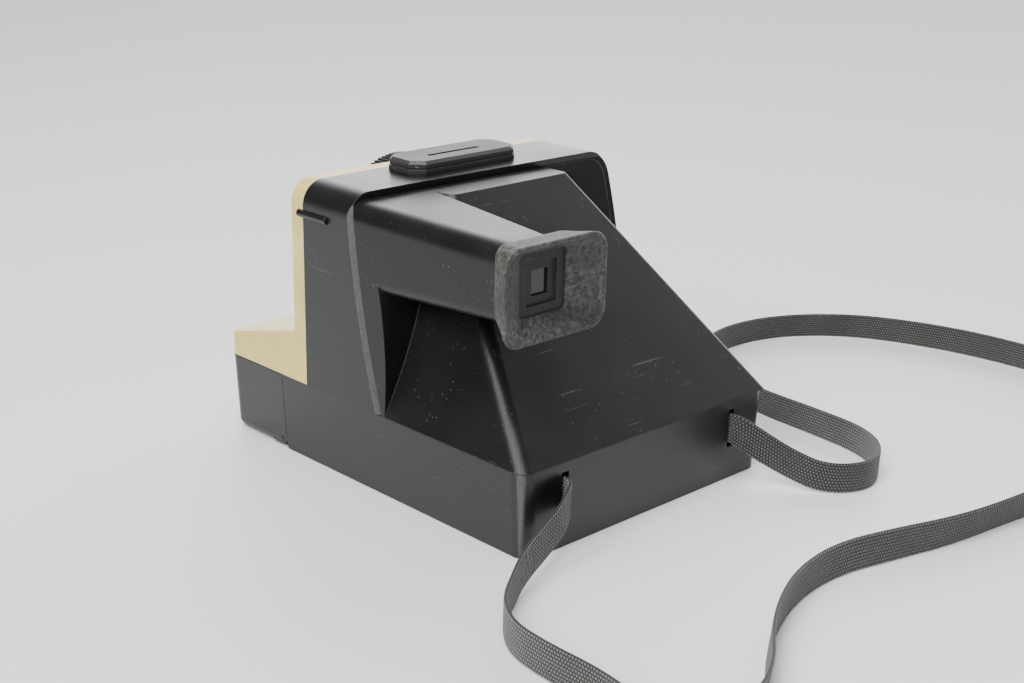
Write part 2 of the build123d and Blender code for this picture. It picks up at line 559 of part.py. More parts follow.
with BuildPart() as lower_roller:
    rod("X", ROLLER_RADIUS, (-ROLLER_HALF, ROLLER_HALF), (ROLLER_Y, LOWER_ROLLER_Z))
    rod("X", SHAFT_RADIUS, (GEAR_X - GEAR_THICKNESS / 2, BRACKET_HALF), (ROLLER_Y, LOWER_ROLLER_Z))
finish(lower_roller, "lower_roller")

# -------------------------------------------------------------- drive train
# The drive gear meshes with the motor's pinion and with the gear on the lower roller.
PINION_REACH = MODULE * (PINION_TEETH + DRIVE_TEETH) / 2 + MESH_SLACK
ROLLER_REACH = MODULE * (ROLLER_TEETH + DRIVE_TEETH) / 2 + MESH_SLACK
SPAN_Y, SPAN_Z = ROLLER_Y - MOTOR_Y, LOWER_ROLLER_Z - MOTOR_Z
SPAN = sqrt(SPAN_Y**2 + SPAN_Z**2)
ALONG = (SPAN**2 + PINION_REACH**2 - ROLLER_REACH**2) / (2 * SPAN)
ASIDE = sqrt(max(PINION_REACH**2 - ALONG**2, 0))
DRIVE_Y = MOTOR_Y + (ALONG * SPAN_Y + ASIDE * SPAN_Z) / SPAN
DRIVE_Z = MOTOR_Z + (ALONG * SPAN_Z - ASIDE * SPAN_Y) / SPAN
TO_PINION = degrees(atan2(MOTOR_Z - DRIVE_Z, MOTOR_Y - DRIVE_Y))
TO_ROLLER = degrees(atan2(LOWER_ROLLER_Z - DRIVE_Z, ROLLER_Y - DRIVE_Y))
DRIVE_PITCH = 360 / DRIVE_TEETH
# a tooth of the drive gear points at the pinion, whose gap faces it
PINION_PHASE = TO_PINION + 180 + 180 / PINION_TEETH
# where the roller gear finds the drive gear's teeth, as a share of a tooth pitch
DRIVE_SHARE = ((TO_ROLLER - TO_PINION) / DRIVE_PITCH) % 1
ROLLER_PHASE = TO_ROLLER + 180 + (DRIVE_SHARE + 0.5) * 360 / ROLLER_TEETH
GEAR_PLANE = Plane.YZ.offset(GEAR_X - GEAR_THICKNESS / 2)
PLATE_X = GEAR_X + GEAR_THICKNESS / 2 + 0.2

with BuildPart() as motor_pinion:
    with BuildSketch(GEAR_PLANE):
        with Locations((MOTOR_Y, MOTOR_Z)):
            Polygon(*gear_outline(PINION_TEETH, PINION_PHASE), align=None)
    extrude(amount=GEAR_THICKNESS)
    rod("X", PINION_SHAFT, (GEAR_X, PLATE_X + 4), (MOTOR_Y, MOTOR_Z))
finish(motor_pinion, "motor_pinion")

with BuildPart() as drive_gear:
    with BuildSketch(GEAR_PLANE):
        with Locations((DRIVE_Y, DRIVE_Z)):
            Polygon(*gear_outline(DRIVE_TEETH, TO_PINION), align=None)
            Circle(SHAFT_RADIUS + RUN_CLEARANCE, mode=Mode.SUBTRACT)
    extrude(amount=GEAR_THICKNESS)
finish(drive_gear, "drive_gear")

with BuildPart() as roller_gear:
    with BuildSketch(GEAR_PLANE):
        with Locations((ROLLER_Y, LOWER_ROLLER_Z)):
            Polygon(*gear_outline(ROLLER_TEETH, ROLLER_PHASE), align=None)
            Circle(SHAFT_RADIUS, mode=Mode.SUBTRACT)
    extrude(amount=GEAR_THICKNESS)
finish(roller_gear, "roller_gear")

with BuildPart() as gear_plate:
    with BuildSketch(Plane.YZ.offset(PLATE_X)):
        plate_y = (ROLLER_Y + 5, FACE_Y - 2)
        Polygon(
            (plate_y[0], BASE_HEIGHT - 3),
            (plate_y[0], shelf_z(plate_y[0]) - WALL),
            (plate_y[1], shelf_z(plate_y[1]) - WALL),
            (plate_y[1], BASE_HEIGHT + 0.5),
            (DOOR_SEAM - SEAM_GAP, BASE_HEIGHT + 0.5),
            (DOOR_SEAM - SEAM_GAP, BASE_HEIGHT - 3),
            align=None,
        )
        with Locations((MOTOR_Y, MOTOR_Z)):
            Circle(PINION_SHAFT + 0.4, mode=Mode.SUBTRACT)
    extrude(amount=PLATE_THICKNESS)
    rod("X", SHAFT_RADIUS, (GEAR_X - GEAR_THICKNESS / 2 - 0.1, PLATE_X), (DRIVE_Y, DRIVE_Z))
finish(gear_plate, "gear_plate")

with BuildPart() as drive_motor:
    motor_x = PLATE_X + PLATE_THICKNESS
    rod("X", MOTOR_RADIUS, (motor_x, motor_x + MOTOR_LENGTH), (MOTOR_Y, MOTOR_Z))
    rod("X", PINION_SHAFT + RUN_CLEARANCE, (PLATE_X, motor_x + 4.2), (MOTOR_Y, MOTOR_Z), Mode.SUBTRACT)
finish(drive_motor, "drive_motor")

# ------------------------------------------------------------ film chamber
with BuildPart() as film_chamber:
    chamber_y = (DOOR_SEAM + 1.4, CHAMBER_REAR)
    block((-CHAMBER_HALF, CHAMBER_HALF), chamber_y, (FLOOR_TOP, CHAMBER_TOP))
    inner = CHAMBER_HALF - CHAMBER_WALL
    block(
        (-inner, inner),
        (DOOR_SEAM, CHAMBER_REAR - CHAMBER_WALL),
        (FLOOR_TOP + CHAMBER_WALL, CHAMBER_TOP - CHAMBER_WALL),
        Mode.SUBTRACT,
    )
    picture_y = (PICTURE_FRONT, PICTURE_FRONT + 2 * PICTURE_HALF)
    picture_z = (CHAMBER_TOP - 2 * CHAMBER_WALL, CHAMBER_TOP)
    block((-PICTURE_HALF, PICTURE_HALF), picture_y, picture_z, Mode.SUBTRACT)
    block((-CHAMBER_HALF, -inner), PICK_SLOT_Y, (PICK_Z - 1.2, PICK_Z + 1.2), Mode.SUBTRACT)
finish(film_chamber, "film_chamber")

with BuildPart() as pick_arm:
    arm_x = (-CHAMBER_HALF - 1.6, -CHAMBER_HALF - 0.4)
    block(arm_x, (PICK_SLOT_Y[1] - 22, PICK_SLOT_Y[1] + 1), (PICK_Z - 3, PICK_Z + 3))
    hook_y = (PICK_SLOT_Y[1] - 1.5, PICK_SLOT_Y[1] - 0.3)
    block((arm_x[0], -CHAMBER_HALF + CHAMBER_WALL + 1.2), hook_y, (PICK_Z - 0.9, PICK_Z + 0.9))
finish(pick_arm, "pick_arm")

with BuildPart() as battery_contacts:
    bed = FLOOR_TOP + CHAMBER_WALL
    for contact_x in (-CONTACT_X, CONTACT_X):
        with BuildSketch(Plane.YZ.offset(contact_x)):
            Polygon(
                (-6, bed), (3.8, bed), (8, bed + 1.8), (12, bed),
                (12, bed + 0.4), (8, bed + 2.2), (3.8, bed + 0.4), (-6, bed + 0.4),
                align=None,
            )
        extrude(amount=2.5, both=True)
finish(battery_contacts, "battery_contacts")

# -------------------------------------------------------- frame and shutter
with BuildPart() as inner_frame:
    with BuildSketch(Plane.XZ.offset(-FRAME_Y - FRAME_THICKNESS)) as frame_outline:
        with Locations((0, (BASE_HEIGHT + BODY_HEIGHT - WALL) / 2)):
            Rectangle(2 * INNER_HALF, BODY_HEIGHT - WALL - BASE_HEIGHT)
        fillet(frame_outline.vertices().group_by(Axis.Y)[-1], TOP_RADIUS - WALL)
        with Locations((0, LENS_Z)):
            Circle(SHUTTER_BORE + 1, mode=Mode.SUBTRACT)
        with Locations((VIEW_X, VIEW_Z)):
            Rectangle(WINDOW_WIDTH, WINDOW_HEIGHT, mode=Mode.SUBTRACT)
    extrude(amount=FRAME_THICKNESS)
finish(inner_frame, "inner_frame")

with BuildPart() as shutter_housing:
    block((-SHUTTER_HALF, SHUTTER_HALF), (SHUTTER_FRONT, FRAME_Y), (SHUTTER_LOW, SHUTTER_HIGH))
    block(
        (-SHUTTER_HALF + 1.2, SHUTTER_HALF - 1.2),
        (SHUTTER_FRONT + 1.2, FRAME_Y - 1.2),
        (SHUTTER_LOW + 1.2, SHUTTER_HIGH - 1.2),
        Mode.SUBTRACT,
    )
    rod("Y", SHUTTER_BORE, (SHUTTER_FRONT - 1, FRAME_Y + 1), (0, LENS_Z), Mode.SUBTRACT)
finish(shutter_housing, "shutter_housing")

for name, side, gap in (("front_blade", -1, 2.2), ("rear_blade", 1, 3.6)):
    blade_y = SHUTTER_FRONT + gap
    with BuildPart() as blade:
        span = sorted((side * (SHUTTER_HALF - 3), -side * (BLADE_TRAVEL + 3)))
        block(span, (blade_y, blade_y + BLADE_THICKNESS), (LENS_Z - 10.5, LENS_Z + 10.5))
        rod("Y", BLADE_BORE, (blade_y - 1, blade_y + 1), (side * BLADE_TRAVEL, LENS_Z), Mode.SUBTRACT)
    finish(blade, name)

with BuildPart() as solenoid_coil:
    coil_at = (FRAME_Y - COIL_RADIUS, SHUTTER_LOW - COIL_RADIUS - 1)
    rod("X", COIL_RADIUS, (-20, -8), coil_at)
    block((-20, -8), (FRAME_Y - COIL_RADIUS, FRAME_Y), (coil_at[1] - COIL_RADIUS, coil_at[1] + COIL_RADIUS))
    rod("X", PLUNGER_RADIUS + RUN_CLEARANCE, (-19, -7), coil_at, Mode.SUBTRACT)
finish(solenoid_coil, "solenoid_coil")

with BuildPart() as solenoid_plunger:
    rod("X", PLUNGER_RADIUS, (-15.5, -4), coil_at)
    rod("X", PLUNGER_RADIUS + 1, (-4, -3), coil_at)
finish(solenoid_plunger, "solenoid_plunger")

with BuildPart() as circuit_board:
    board_y = (FRAME_Y - BOARD_THICKNESS, FRAME_Y)
    block((-BOARD_HALF, BOARD_HALF), board_y, (BASE_HEIGHT + 2, BASE_HEIGHT + 17))
finish(circuit_board, "circuit_board")

with BuildPart() as board_components:
    for chip_x, chip_z, width, height, depth in (
        (-30, 9, 12, 7, 1.8),
        (-12, 10, 6, 4, 1.4),
        (2, 8, 9, 6, 3.0),
        (18, 10, 5, 5, 4.0),
        (32, 9, 10, 4, 1.6),
    ):
        chip_y = (FRAME_Y - BOARD_THICKNESS - depth, FRAME_Y - BOARD_THICKNESS)
        low = BASE_HEIGHT + chip_z
        block((chip_x - width / 2, chip_x + width / 2), chip_y, (low, low + height))
finish(board_components, "board_components")

# --------------------------------------------------------------------- lens
with BuildPart() as lens_mount:
    rod("Y", FLANGE_RADIUS, (FACE_Y - FLANGE_THICKNESS, FACE_Y), (0, LENS_Z))
    rod("Y", MOUNT_RADIUS, (MOUNT_FRONT, SHUTTER_FRONT), (0, LENS_Z))
    rod("Y", MOUNT_BORE, (MOUNT_FRONT - 1, SHUTTER_FRONT + 1), (0, LENS_Z), Mode.SUBTRACT)
finish(lens_mount, "lens_mount")

with BuildPart() as focus_ring:
    with BuildSketch(Plane.XZ.offset(-RING_BACK)):
        with Locations((0, LENS_Z)):
            Polygon(*knurl_outline(RING_RADIUS, KNURL_COUNT, KNURL_DEPTH), align=None)
    extrude(amount=RING_BACK - RING_FRONT)
    at = (0, LENS_Z)
    shoulder = MOUNT_FRONT - SEAM_GAP
    rod("Y", MOUNT_RADIUS + RUN_CLEARANCE, (shoulder, RING_BACK + 1), at, Mode.SUBTRACT)
    rod("Y", LENS_RADIUS, (shoulder - LENS_EDGE, shoulder + 1), at, Mode.SUBTRACT)
    rod("Y", MOUNT_BORE - 1, (RING_FRONT - 1, shoulder), at, Mode.SUBTRACT)
    with BuildSketch(Plane.XZ.offset(-RING_FRONT)):
        with Locations(at):
            Circle(RING_RADIUS - 3.5)
    extrude(amount=-RING_DISH, taper=45, mode=Mode.SUBTRACT)
finish(focus_ring, "focus_ring")

with BuildPart() as front_lens:
    lens_front = shoulder - LENS_EDGE
    dome = MOUNT_BORE - 1.3
    dome_radius = (dome**2 + LENS_BULGE**2) / (2 * LENS_BULGE)
    dome_centre = lens_front - LENS_BULGE + dome_radius
    with BuildSketch(Plane.YZ):
        with BuildLine():
            Polyline(
                (lens_front, LENS_Z + dome),
                (lens_front, LENS_Z + LENS_RADIUS),
                (shoulder, LENS_Z + LENS_RADIUS),
                (shoulder, LENS_Z),
                (lens_front - LENS_BULGE, LENS_Z),
            )
            ThreePointArc(
                (lens_front - LENS_BULGE, LENS_Z),
                (dome_centre - sqrt(dome_radius**2 - dome**2 / 4), LENS_Z + dome / 2),
                (lens_front, LENS_Z + dome),
            )
        make_face()
    revolve(axis=Axis((0, 0, LENS_Z), (0, 1, 0)))
finish(front_lens, "front_lens")

with BuildPart() as rear_lens:
    rod("Y", MOUNT_BORE, (SHUTTER_FRONT - 5.5, SHUTTER_FRONT - 3), (0, LENS_Z))
finish(rear_lens, "rear_lens")

# ----------------------------------------------------------- front controls
with BuildPart() as eye_window:
    rod("Y", EYE_RADIUS, (FACE_Y - 0.5, FACE_Y + 1.2), (CONTROL_X, EYE_Z))
finish(eye_window, "eye_window")

with BuildPart() as photocell:
    rod("Y", EYE_RADIUS - 1.2, (FACE_Y + 1.2, FACE_Y + 5), (CONTROL_X, EYE_Z))
finish(photocell, "photocell")

with BuildPart() as exposure_dial:
    with BuildSketch(Plane.XZ.offset(-FACE_Y + SEAM_GAP)):
        with Locations((CONTROL_X, DIAL_Z)):
            Polygon(*knurl_outline(DIAL_RADIUS, 28, 0.4), align=None)
    extrude(amount=3.0)
    fillet(exposure_dial.faces().sort_by(Axis.Y)[0].edges(), 0.12)
    rod("Y", DIAL_SHAFT_RADIUS, (FACE_Y - 1, FACE_Y + WALL + 1.6), (CONTROL_X, DIAL_Z))
finish(exposure_dial, "exposure_dial")

with BuildPart() as shutter_button:
    flange_y = FACE_Y + WALL + 0.2
    rod("Y", BUTTON_RADIUS, (FACE_Y - BUTTON_STROKE - 1.2, flange_y), (CONTROL_X, BUTTON_Z))
    fillet(shutter_button.edges().sort_by(Axis.Y)[0], 0.8)
    rod("Y", BUTTON_RADIUS + 1, (flange_y, flange_y + 1), (CONTROL_X, BUTTON_Z))
    rod("Y", 1.4, (flange_y, flange_y + 7), (CONTROL_X, BUTTON_Z))
finish(shutter_button, "shutter_button")

with BuildPart() as button_spring:
    spring_y = (flange_y + 1 + BUTTON_STROKE + 0.2, FRAME_Y)
    with BuildLine():
        coil = Helix(
            2.2,
            spring_y[1] - spring_y[0] - 2 * SPRING_WIRE - 0.2,
            2.6,
            center=(CONTROL_X, spring_y[0] + SPRING_WIRE + 0.1, BUTTON_Z),
            direction=(0, 1, 0),
        )
    with BuildSketch(Plane(origin=coil @ 0, z_dir=coil % 0)):
        Circle(SPRING_WIRE)
    sweep(path=coil)
finish(button_spring, "button_spring")

# --------------------------------------------------------------- viewfinder
with BuildPart() as viewfinder_tube:
    for inset in (0, TUBE_WALL):
        for station, width, height in (
            (FACE_Y + WALL, WINDOW_WIDTH, WINDOW_HEIGHT),
            (TUNNEL_END - TUNNEL_WALL, TUBE_END_WIDTH, TUBE_END_HEIGHT),
        ):
            with BuildSketch(Plane.XZ.offset(-station)):
                with Locations((VIEW_X, VIEW_Z)):
                    Rectangle(width - 2 * inset, height - 2 * inset)
        loft(ruled=True, mode=Mode.SUBTRACT if inset else Mode.ADD)
finish(viewfinder_tube, "viewfinder_tube")

with BuildPart() as viewfinder_window:
    block(
        (VIEW_X - WINDOW_WIDTH / 2, VIEW_X + WINDOW_WIDTH / 2),
        (FACE_Y + 0.6, FACE_Y + WALL),
        (VIEW_Z - WINDOW_HEIGHT / 2, VIEW_Z + WINDOW_HEIGHT / 2),
    )
finish(viewfinder_window, "viewfinder_window")

with BuildPart() as eyepiece_lens:
    block(
        (VIEW_X - EYE_LENS / 2, VIEW_X + EYE_LENS / 2),
        (TUNNEL_END - TUNNEL_WALL, TUNNEL_END),
        (VIEW_Z - EYE_LENS / 2, VIEW_Z + EYE_LENS / 2),
    )
finish(eyepiece_lens, "eyepiece_lens")

with BuildPart() as eyecup:
    with BuildSketch(Plane.XZ.offset(-TUNNEL_END)):
        with Locations(((HALF_WIDTH + CUP_FOOT_INNER) / 2 + 0.5, COVER_TOP - TUNNEL_DEPTH_END / 2)):
            RectangleRounded(HALF_WIDTH - CUP_FOOT_INNER + 1, TUNNEL_DEPTH_END + 0.8, 4.0)
    with BuildSketch(Plane.XZ.offset(-TUNNEL_END - CUP_REACH)):
        with Locations((CUP_X, CUP_Z)):
            RectangleRounded(CUP_WIDTH, CUP_HEIGHT, CUP_CORNER)
    loft()
    with BuildSketch(Plane.XZ.offset(-TUNNEL_END - CUP_FLOOR)):
        with Locations((VIEW_X, VIEW_Z)):
            RectangleRounded(EYE_WINDOW, EYE_WINDOW, 1.5)
    with BuildSketch(Plane.XZ.offset(-TUNNEL_END - CUP_REACH)):
        with Locations((CUP_X, CUP_Z)):
            RectangleRounded(CUP_WIDTH - 2 * CUP_LIP, CUP_HEIGHT - 2 * CUP_LIP, CUP_CORNER - CUP_LIP)
    loft(mode=Mode.SUBTRACT)
    with BuildSketch(Plane.XZ.offset(-TUNNEL_END)):
        with Locations((VIEW_X, VIEW_Z)):
            RectangleRounded(EYE_WINDOW, EYE_WINDOW, 1.5)
    extrude(amount=-CUP_FLOOR, mode=Mode.SUBTRACT)
finish(eyecup, "eyecup")

with BuildPart() as eyepiece_mask:
    with BuildSketch(Plane.XZ.offset(-TUNNEL_END)):
        with Locations((VIEW_X, VIEW_Z)):
            RectangleRounded(EYE_WINDOW, EYE_WINDOW, 1.5)
            Rectangle(MASK_WIDTH, MASK_HEIGHT, mode=Mode.SUBTRACT)
    extrude(amount=-1.6)
    with BuildSketch(Plane.XZ.offset(-TUNNEL_END - 0.8)):
        with Locations((VIEW_X, VIEW_Z)):
            Rectangle(MASK_WIDTH + 5.4, MASK_HEIGHT + 5.4)
    extrude(amount=-2, mode=Mode.SUBTRACT)
finish(eyepiece_mask, "eyepiece_mask")

with BuildPart() as mirror:
    foot_z, head_z = BASE_HEIGHT + 9, COVER_TOP - 9
    mirror_plane = Plane(
        origin=(0, slope_y(foot_z, WALL), foot_z),
        x_dir=(1, 0, 0),
        z_dir=(0, -sin(SLOPE_ANGLE), -cos(SLOPE_ANGLE)),
    )
    rise = (head_z - foot_z) / sin(SLOPE_ANGLE)
    foot_half, head_half = side_x(foot_z, WALL) - MIRROR_MARGIN, side_x(head_z, WALL) - MIRROR_MARGIN
    with BuildSketch(mirror_plane):
        Polygon((-foot_half, 0), (foot_half, 0), (head_half, rise), (-head_half, rise), align=None)
    extrude(amount=MIRROR_THICKNESS)
finish(mirror, "mirror")

# ------------------------------------------------------------- flash socket
with BuildPart() as flash_socket:
    middle_y = (SOCKET_FRONT + SOCKET_BACK) / 2
    for low, high, inset in ((0, 1.5, 0), (1.5, 1.9, 0.5), (1.9, SOCKET_RISE, 0.2)):
        with BuildSketch(Plane.XY.offset(BODY_HEIGHT + low)) as layer:
            with Locations((0, middle_y)):
                Rectangle(2 * (SOCKET_HALF - inset), SOCKET_BACK - SOCKET_FRONT - 2 * inset)
            chamfer(layer.vertices(), SOCKET_CORNER)
        extrude(amount=high - low)
    chamfer(flash_socket.faces().sort_by(Axis.Z)[-1].edges(), 1.0)
    block(slot_x_range, slot_y_range, (BODY_HEIGHT - 1, BODY_HEIGHT + SOCKET_RISE + 1), Mode.SUBTRACT)
finish(flash_socket, "flash_socket")

with BuildPart() as flash_contacts:
    for index in range(-3, 4):
        contact_x = SOCKET_SLOT_X + 3 * index
        contact_y = (slot_y_range[1] - 0.35, slot_y_range[1])
        block((contact_x - 0.8, contact_x + 0.8), contact_y, (BODY_HEIGHT - WALL - 4, BODY_HEIGHT + 2.5))
finish(flash_contacts, "flash_contacts")

# --------------------------------------------------------- latch and screws
with BuildPart() as door_latch:
    pad_y = (LATCH_SLOT_Y[0] + LATCH_CLEARANCE, LATCH_SLOT_Y[1] - LATCH_CLEARANCE)
    latch_z = (LATCH_SLOT_Z[0] + LATCH_CLEARANCE, LATCH_SLOT_Z[0] + LATCH_CLEARANCE + LATCH_HEIGHT)
    block((0.1 - HALF_WIDTH, -BASE_INNER + 0.5), pad_y, latch_z)
    block((-BASE_INNER, -BASE_INNER + 1.4), (LATCH_SLOT_Y[0] - 0.4, LATCH_SLOT_Y[1] + 0.4), latch_z)
    for rib in range(3):
        rib_z = latch_z[0] + 1.2 + 1.6 * rib
        block((-HALF_WIDTH, 0.5 - HALF_WIDTH), pad_y, (rib_z, rib_z + 0.6), Mode.SUBTRACT)
finish(door_latch, "door_latch")

with BuildPart() as latch_spring:
    latch_spring_z = (latch_z[1] + LATCH_STROKE + 0.3, ROOF_UNDER)
    with BuildLine():
        latch_coil = Helix(
            1.4,
            latch_spring_z[1] - latch_spring_z[0] - 0.8,
            1.0,
            center=(0.7 - BASE_INNER, sum(LATCH_SLOT_Y) / 2, latch_spring_z[0] + 0.4),
        )
    with BuildSketch(Plane(origin=latch_coil @ 0, z_dir=latch_coil % 0)):
        Circle(0.25)
    sweep(path=latch_coil)
finish(latch_spring, "latch_spring")

with BuildPart() as side_catch:
    with BuildSketch(Plane.XZ.offset(-CATCH_Y[1])):
        with Locations((HALF_WIDTH, CATCH_Z)):
            Circle(CATCH_RADIUS)
            half_cut = (Align.MAX, Align.CENTER)
            Rectangle(2 * CATCH_RADIUS, 4 * CATCH_RADIUS, align=half_cut, mode=Mode.SUBTRACT)
    extrude(amount=CATCH_Y[1] - CATCH_Y[0])
finish(side_catch, "side_catch")

with BuildPart() as case_screws:
    for side in (-1, 1):
        for screw_y, reach in zip(SCREW_Y, (5.0, POST_HEIGHT - 0.8)):
            at = (side * SCREW_X, screw_y)
            rod("Z", SCREW_HEAD_RADIUS, (0.6, SCREW_HEAD_HEIGHT + 0.6), at)
            rod("Z", SCREW_RADIUS, (SCREW_HEAD_HEIGHT, BASE_HEIGHT + reach), at)
            block((at[0] - 1.6, at[0] + 1.6), (at[1] - 0.3, at[1] + 0.3), (0.5, 1.2), Mode.SUBTRACT)
            block((at[0] - 0.3, at[0] + 0.3), (at[1] - 1.6, at[1] + 1.6), (0.5, 1.2), Mode.SUBTRACT)
finish(case_screws, "case_screws")

# -------------------------------------------------------------------- strap
with BuildPart() as strap_pins:
    for side in (-1, 1):
        at = (side * STRAP_X, REAR - WALL - STRAP_PIN_RADIUS - 0.3)
        rod("Z", STRAP_PIN_RADIUS, (FLOOR_TOP, ROOF_UNDER), at)
finish(strap_pins, "strap_pins")

LIE = STRAP_WIDTH / 2  # height of the strap's middle where it stands on its edge
STRAP_ROUTE = [
    (STRAP_X, REAR + 2.0, STRAP_Z), (44.0, 79.5, 15.0), (54.0, 81.5, 10.5), (66.0, 84.5, 7.0),
    (76.5, 90.5, LIE), (86.5, 97.5, LIE), (94.0, 108.5, LIE), (95.5, 123.0, LIE), (95.0, 139.0, LIE),
    (97.0, 154.5, LIE), (89.5, 168.5, LIE), (74.5, 172.0, LIE), (60.0, 165.5, LIE), (46.5, 155.0, LIE),
    (31.0, 146.0, LIE), (13.0, 139.5, LIE), (-7.0, 138.0, LIE), (-27.5, 143.5, LIE), (-50.0, 150.5, LIE),
    (-78.0, 154.5, LIE), (-109.0, 158.0, LIE), (-142.0, 156.0, LIE), (-173.0, 145.0, LIE),
    (-198.5, 123.5, LIE), (-212.0, 95.0, LIE), (-212.0, 66.0, LIE), (-205.5, 37.5, LIE),
    (-192.5, 11.5, LIE), (-168.5, -7.0, LIE), (-139.0, -11.5, LIE), (-112.5, -2.0, LIE),
    (-97.5, 20.0, LIE), (-92.5, 46.0, LIE), (-91.0, 70.5, LIE), (-88.5, 91.5, LIE), (-78.5, 105.5, LIE),
    (-63.5, 110.0, LIE), (-51.5, 101.5, LIE), (-48.0, 89.5, 8.0), (-44.0, 80.5, 12.5),
    (-STRAP_X, REAR + 2.0, STRAP_Z),
]
points = [Vector(*point) for point in STRAP_ROUTE]
runs = [after - before for before, after in zip(points, points[1:])]
radii = []
for before, after in zip(runs, runs[1:]):
    half_turn = radians(before.get_angle(after)) / 2
    radii.append(0.45 * min(before.length, after.length) / tan(half_turn))
with BuildPart() as strap:
    with BuildLine() as strap_line:
        FilletPolyline(*points, radius=radii)
    with BuildSketch(Plane(origin=points[0], z_dir=runs[0])):
        Circle(STRAP_WIDTH / 2)
    sweep(path=strap_line.wires()[0])
finish(strap, "strap")
strap_length = strap_line.wires()[0].length
print("strap bend radii", [round(radius, 1) for radius in radii])
print("strap length", round(strap_length, 1), "tube volume", round(strap.part.volume),
      "section times length", round(strap_length * pi * STRAP_WIDTH**2 / 4))
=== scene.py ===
import json
import logging
import math
from dataclasses import dataclass, field
from enum import Enum

import bpy
import numpy as np
from mathutils import Matrix, Vector


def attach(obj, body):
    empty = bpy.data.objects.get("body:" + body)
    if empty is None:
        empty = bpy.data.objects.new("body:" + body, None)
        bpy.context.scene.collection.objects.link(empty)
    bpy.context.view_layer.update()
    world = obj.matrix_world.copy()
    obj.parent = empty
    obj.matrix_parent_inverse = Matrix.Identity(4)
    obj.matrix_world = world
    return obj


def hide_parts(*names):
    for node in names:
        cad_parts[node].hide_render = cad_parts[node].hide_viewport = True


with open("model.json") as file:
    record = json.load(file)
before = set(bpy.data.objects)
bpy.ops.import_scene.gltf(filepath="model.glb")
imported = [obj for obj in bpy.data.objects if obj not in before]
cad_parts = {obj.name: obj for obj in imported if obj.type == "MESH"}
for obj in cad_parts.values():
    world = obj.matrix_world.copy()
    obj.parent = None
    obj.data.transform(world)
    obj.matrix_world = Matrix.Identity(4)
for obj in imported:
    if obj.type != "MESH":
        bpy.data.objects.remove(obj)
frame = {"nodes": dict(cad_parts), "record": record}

"""Looks of a box-type instant camera with a neck strap.

Metres, +Z up, origin on the table under the middle of the base. The lens faces -Y and the eyecup +Y.
Each sub-assembly is a class that builds its own meshes, and each finish is a small class that
makes a material.
"""

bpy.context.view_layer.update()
log = logging.getLogger("instant_camera")
MM = 0.001
Colour = tuple[float, float, float]
Array = np.ndarray


# ------------------------------------------------------------------ mesh tools
def loft(rings: Array, name: str, cap_ends: bool = False) -> bpy.types.Object:
    """Skin a stack of closed rings into one mesh object.

    Point j of ring i joins to point j + 1 of the same ring and to point j of ring i + 1.

    Args:
        rings: Array of shape (stations, points, 3), in metres.
        name: Name of the new piece.
        cap_ends: Whether one flat face closes each end.

    Returns:
        The new object, with its normals facing outwards.
    """
    stations, points, _ = rings.shape
    row, column = np.meshgrid(np.arange(stations - 1), np.arange(points), indexing="ij")
    after = (column + 1) % points
    quads = np.stack(
        [
            row * points + column, row * points + after,
            (row + 1) * points + after, (row + 1) * points + column,
        ],
        axis=-1,
    ).reshape(-1, 4)
    faces = quads.tolist()
    if cap_ends:
        faces.append(list(range(points)))
        faces.append(list(range((stations - 1) * points, stations * points))[::-1])
    return mesh_object(rings.reshape(-1, 3), faces, name)


def mesh_object(points: Array, faces: list[list[int]], name: str, smooth: bool = True) -> bpy.types.Object:
    """Put points and faces into a new mesh object at the origin.

    Args:
        points: Array of shape (count, 3), in metres.
        faces: Point numbers of each face.
        name: Name of the new piece.
        smooth: Whether its faces are shaded smooth.

    Returns:
        The new object, linked to the scene.
    """
    mesh = bpy.data.meshes.new(name)
    mesh.from_pydata(np.asarray(points, float).tolist(), [], faces)
    mesh.polygons.foreach_set("use_smooth", np.full(len(mesh.polygons), smooth))
    piece = bpy.data.objects.new(name, mesh)
    bpy.context.scene.collection.objects.link(piece)
    return piece


def face_outwards(piece: bpy.types.Object) -> bpy.types.Object:
    """Merge doubled points of a closed mesh and turn its faces outwards.

    Args:
        piece: Mesh object to mend.

    Returns:
        The same object.
    """
    import bmesh

    work = bmesh.new()
    work.from_mesh(piece.data)
    bmesh.ops.remove_doubles(work, verts=work.verts, dist=1e-7)
    bmesh.ops.recalc_face_normals(work, faces=work.faces)
    work.to_mesh(piece.data)
    work.free()
    return piece


def rounded_ring(width: Array, height: Array, radius: Array, steps: int = 10) -> Array:
    """Rounded rectangles about the origin, one per station.

    Each quarter sweeps a quarter circle of the corner radius about its own corner centre,
    and the straight sides are the steps between quarters.

    Args:
        width: Full widths.
        height: Full heights.
        radius: Corner radii.
        steps: Steps in each quarter circle.

    Returns:
        Array of shape (stations, 4 * (steps + 1), 2).
    """
    quarter = np.repeat(np.arange(4), steps + 1)
    angle = (quarter + np.tile(np.linspace(0, 1, steps + 1), 4)) * math.pi / 2
    side_x = np.where((quarter == 0) | (quarter == 3), 1.0, -1.0)
    side_y = np.where(quarter < 2, 1.0, -1.0)
    reach_x, reach_y = (width / 2 - radius)[:, None], (height / 2 - radius)[:, None]
    across = side_x * reach_x + radius[:, None] * np.cos(angle)
    upward = side_y * reach_y + radius[:, None] * np.sin(angle)
    return np.stack([across, upward], axis=-1)


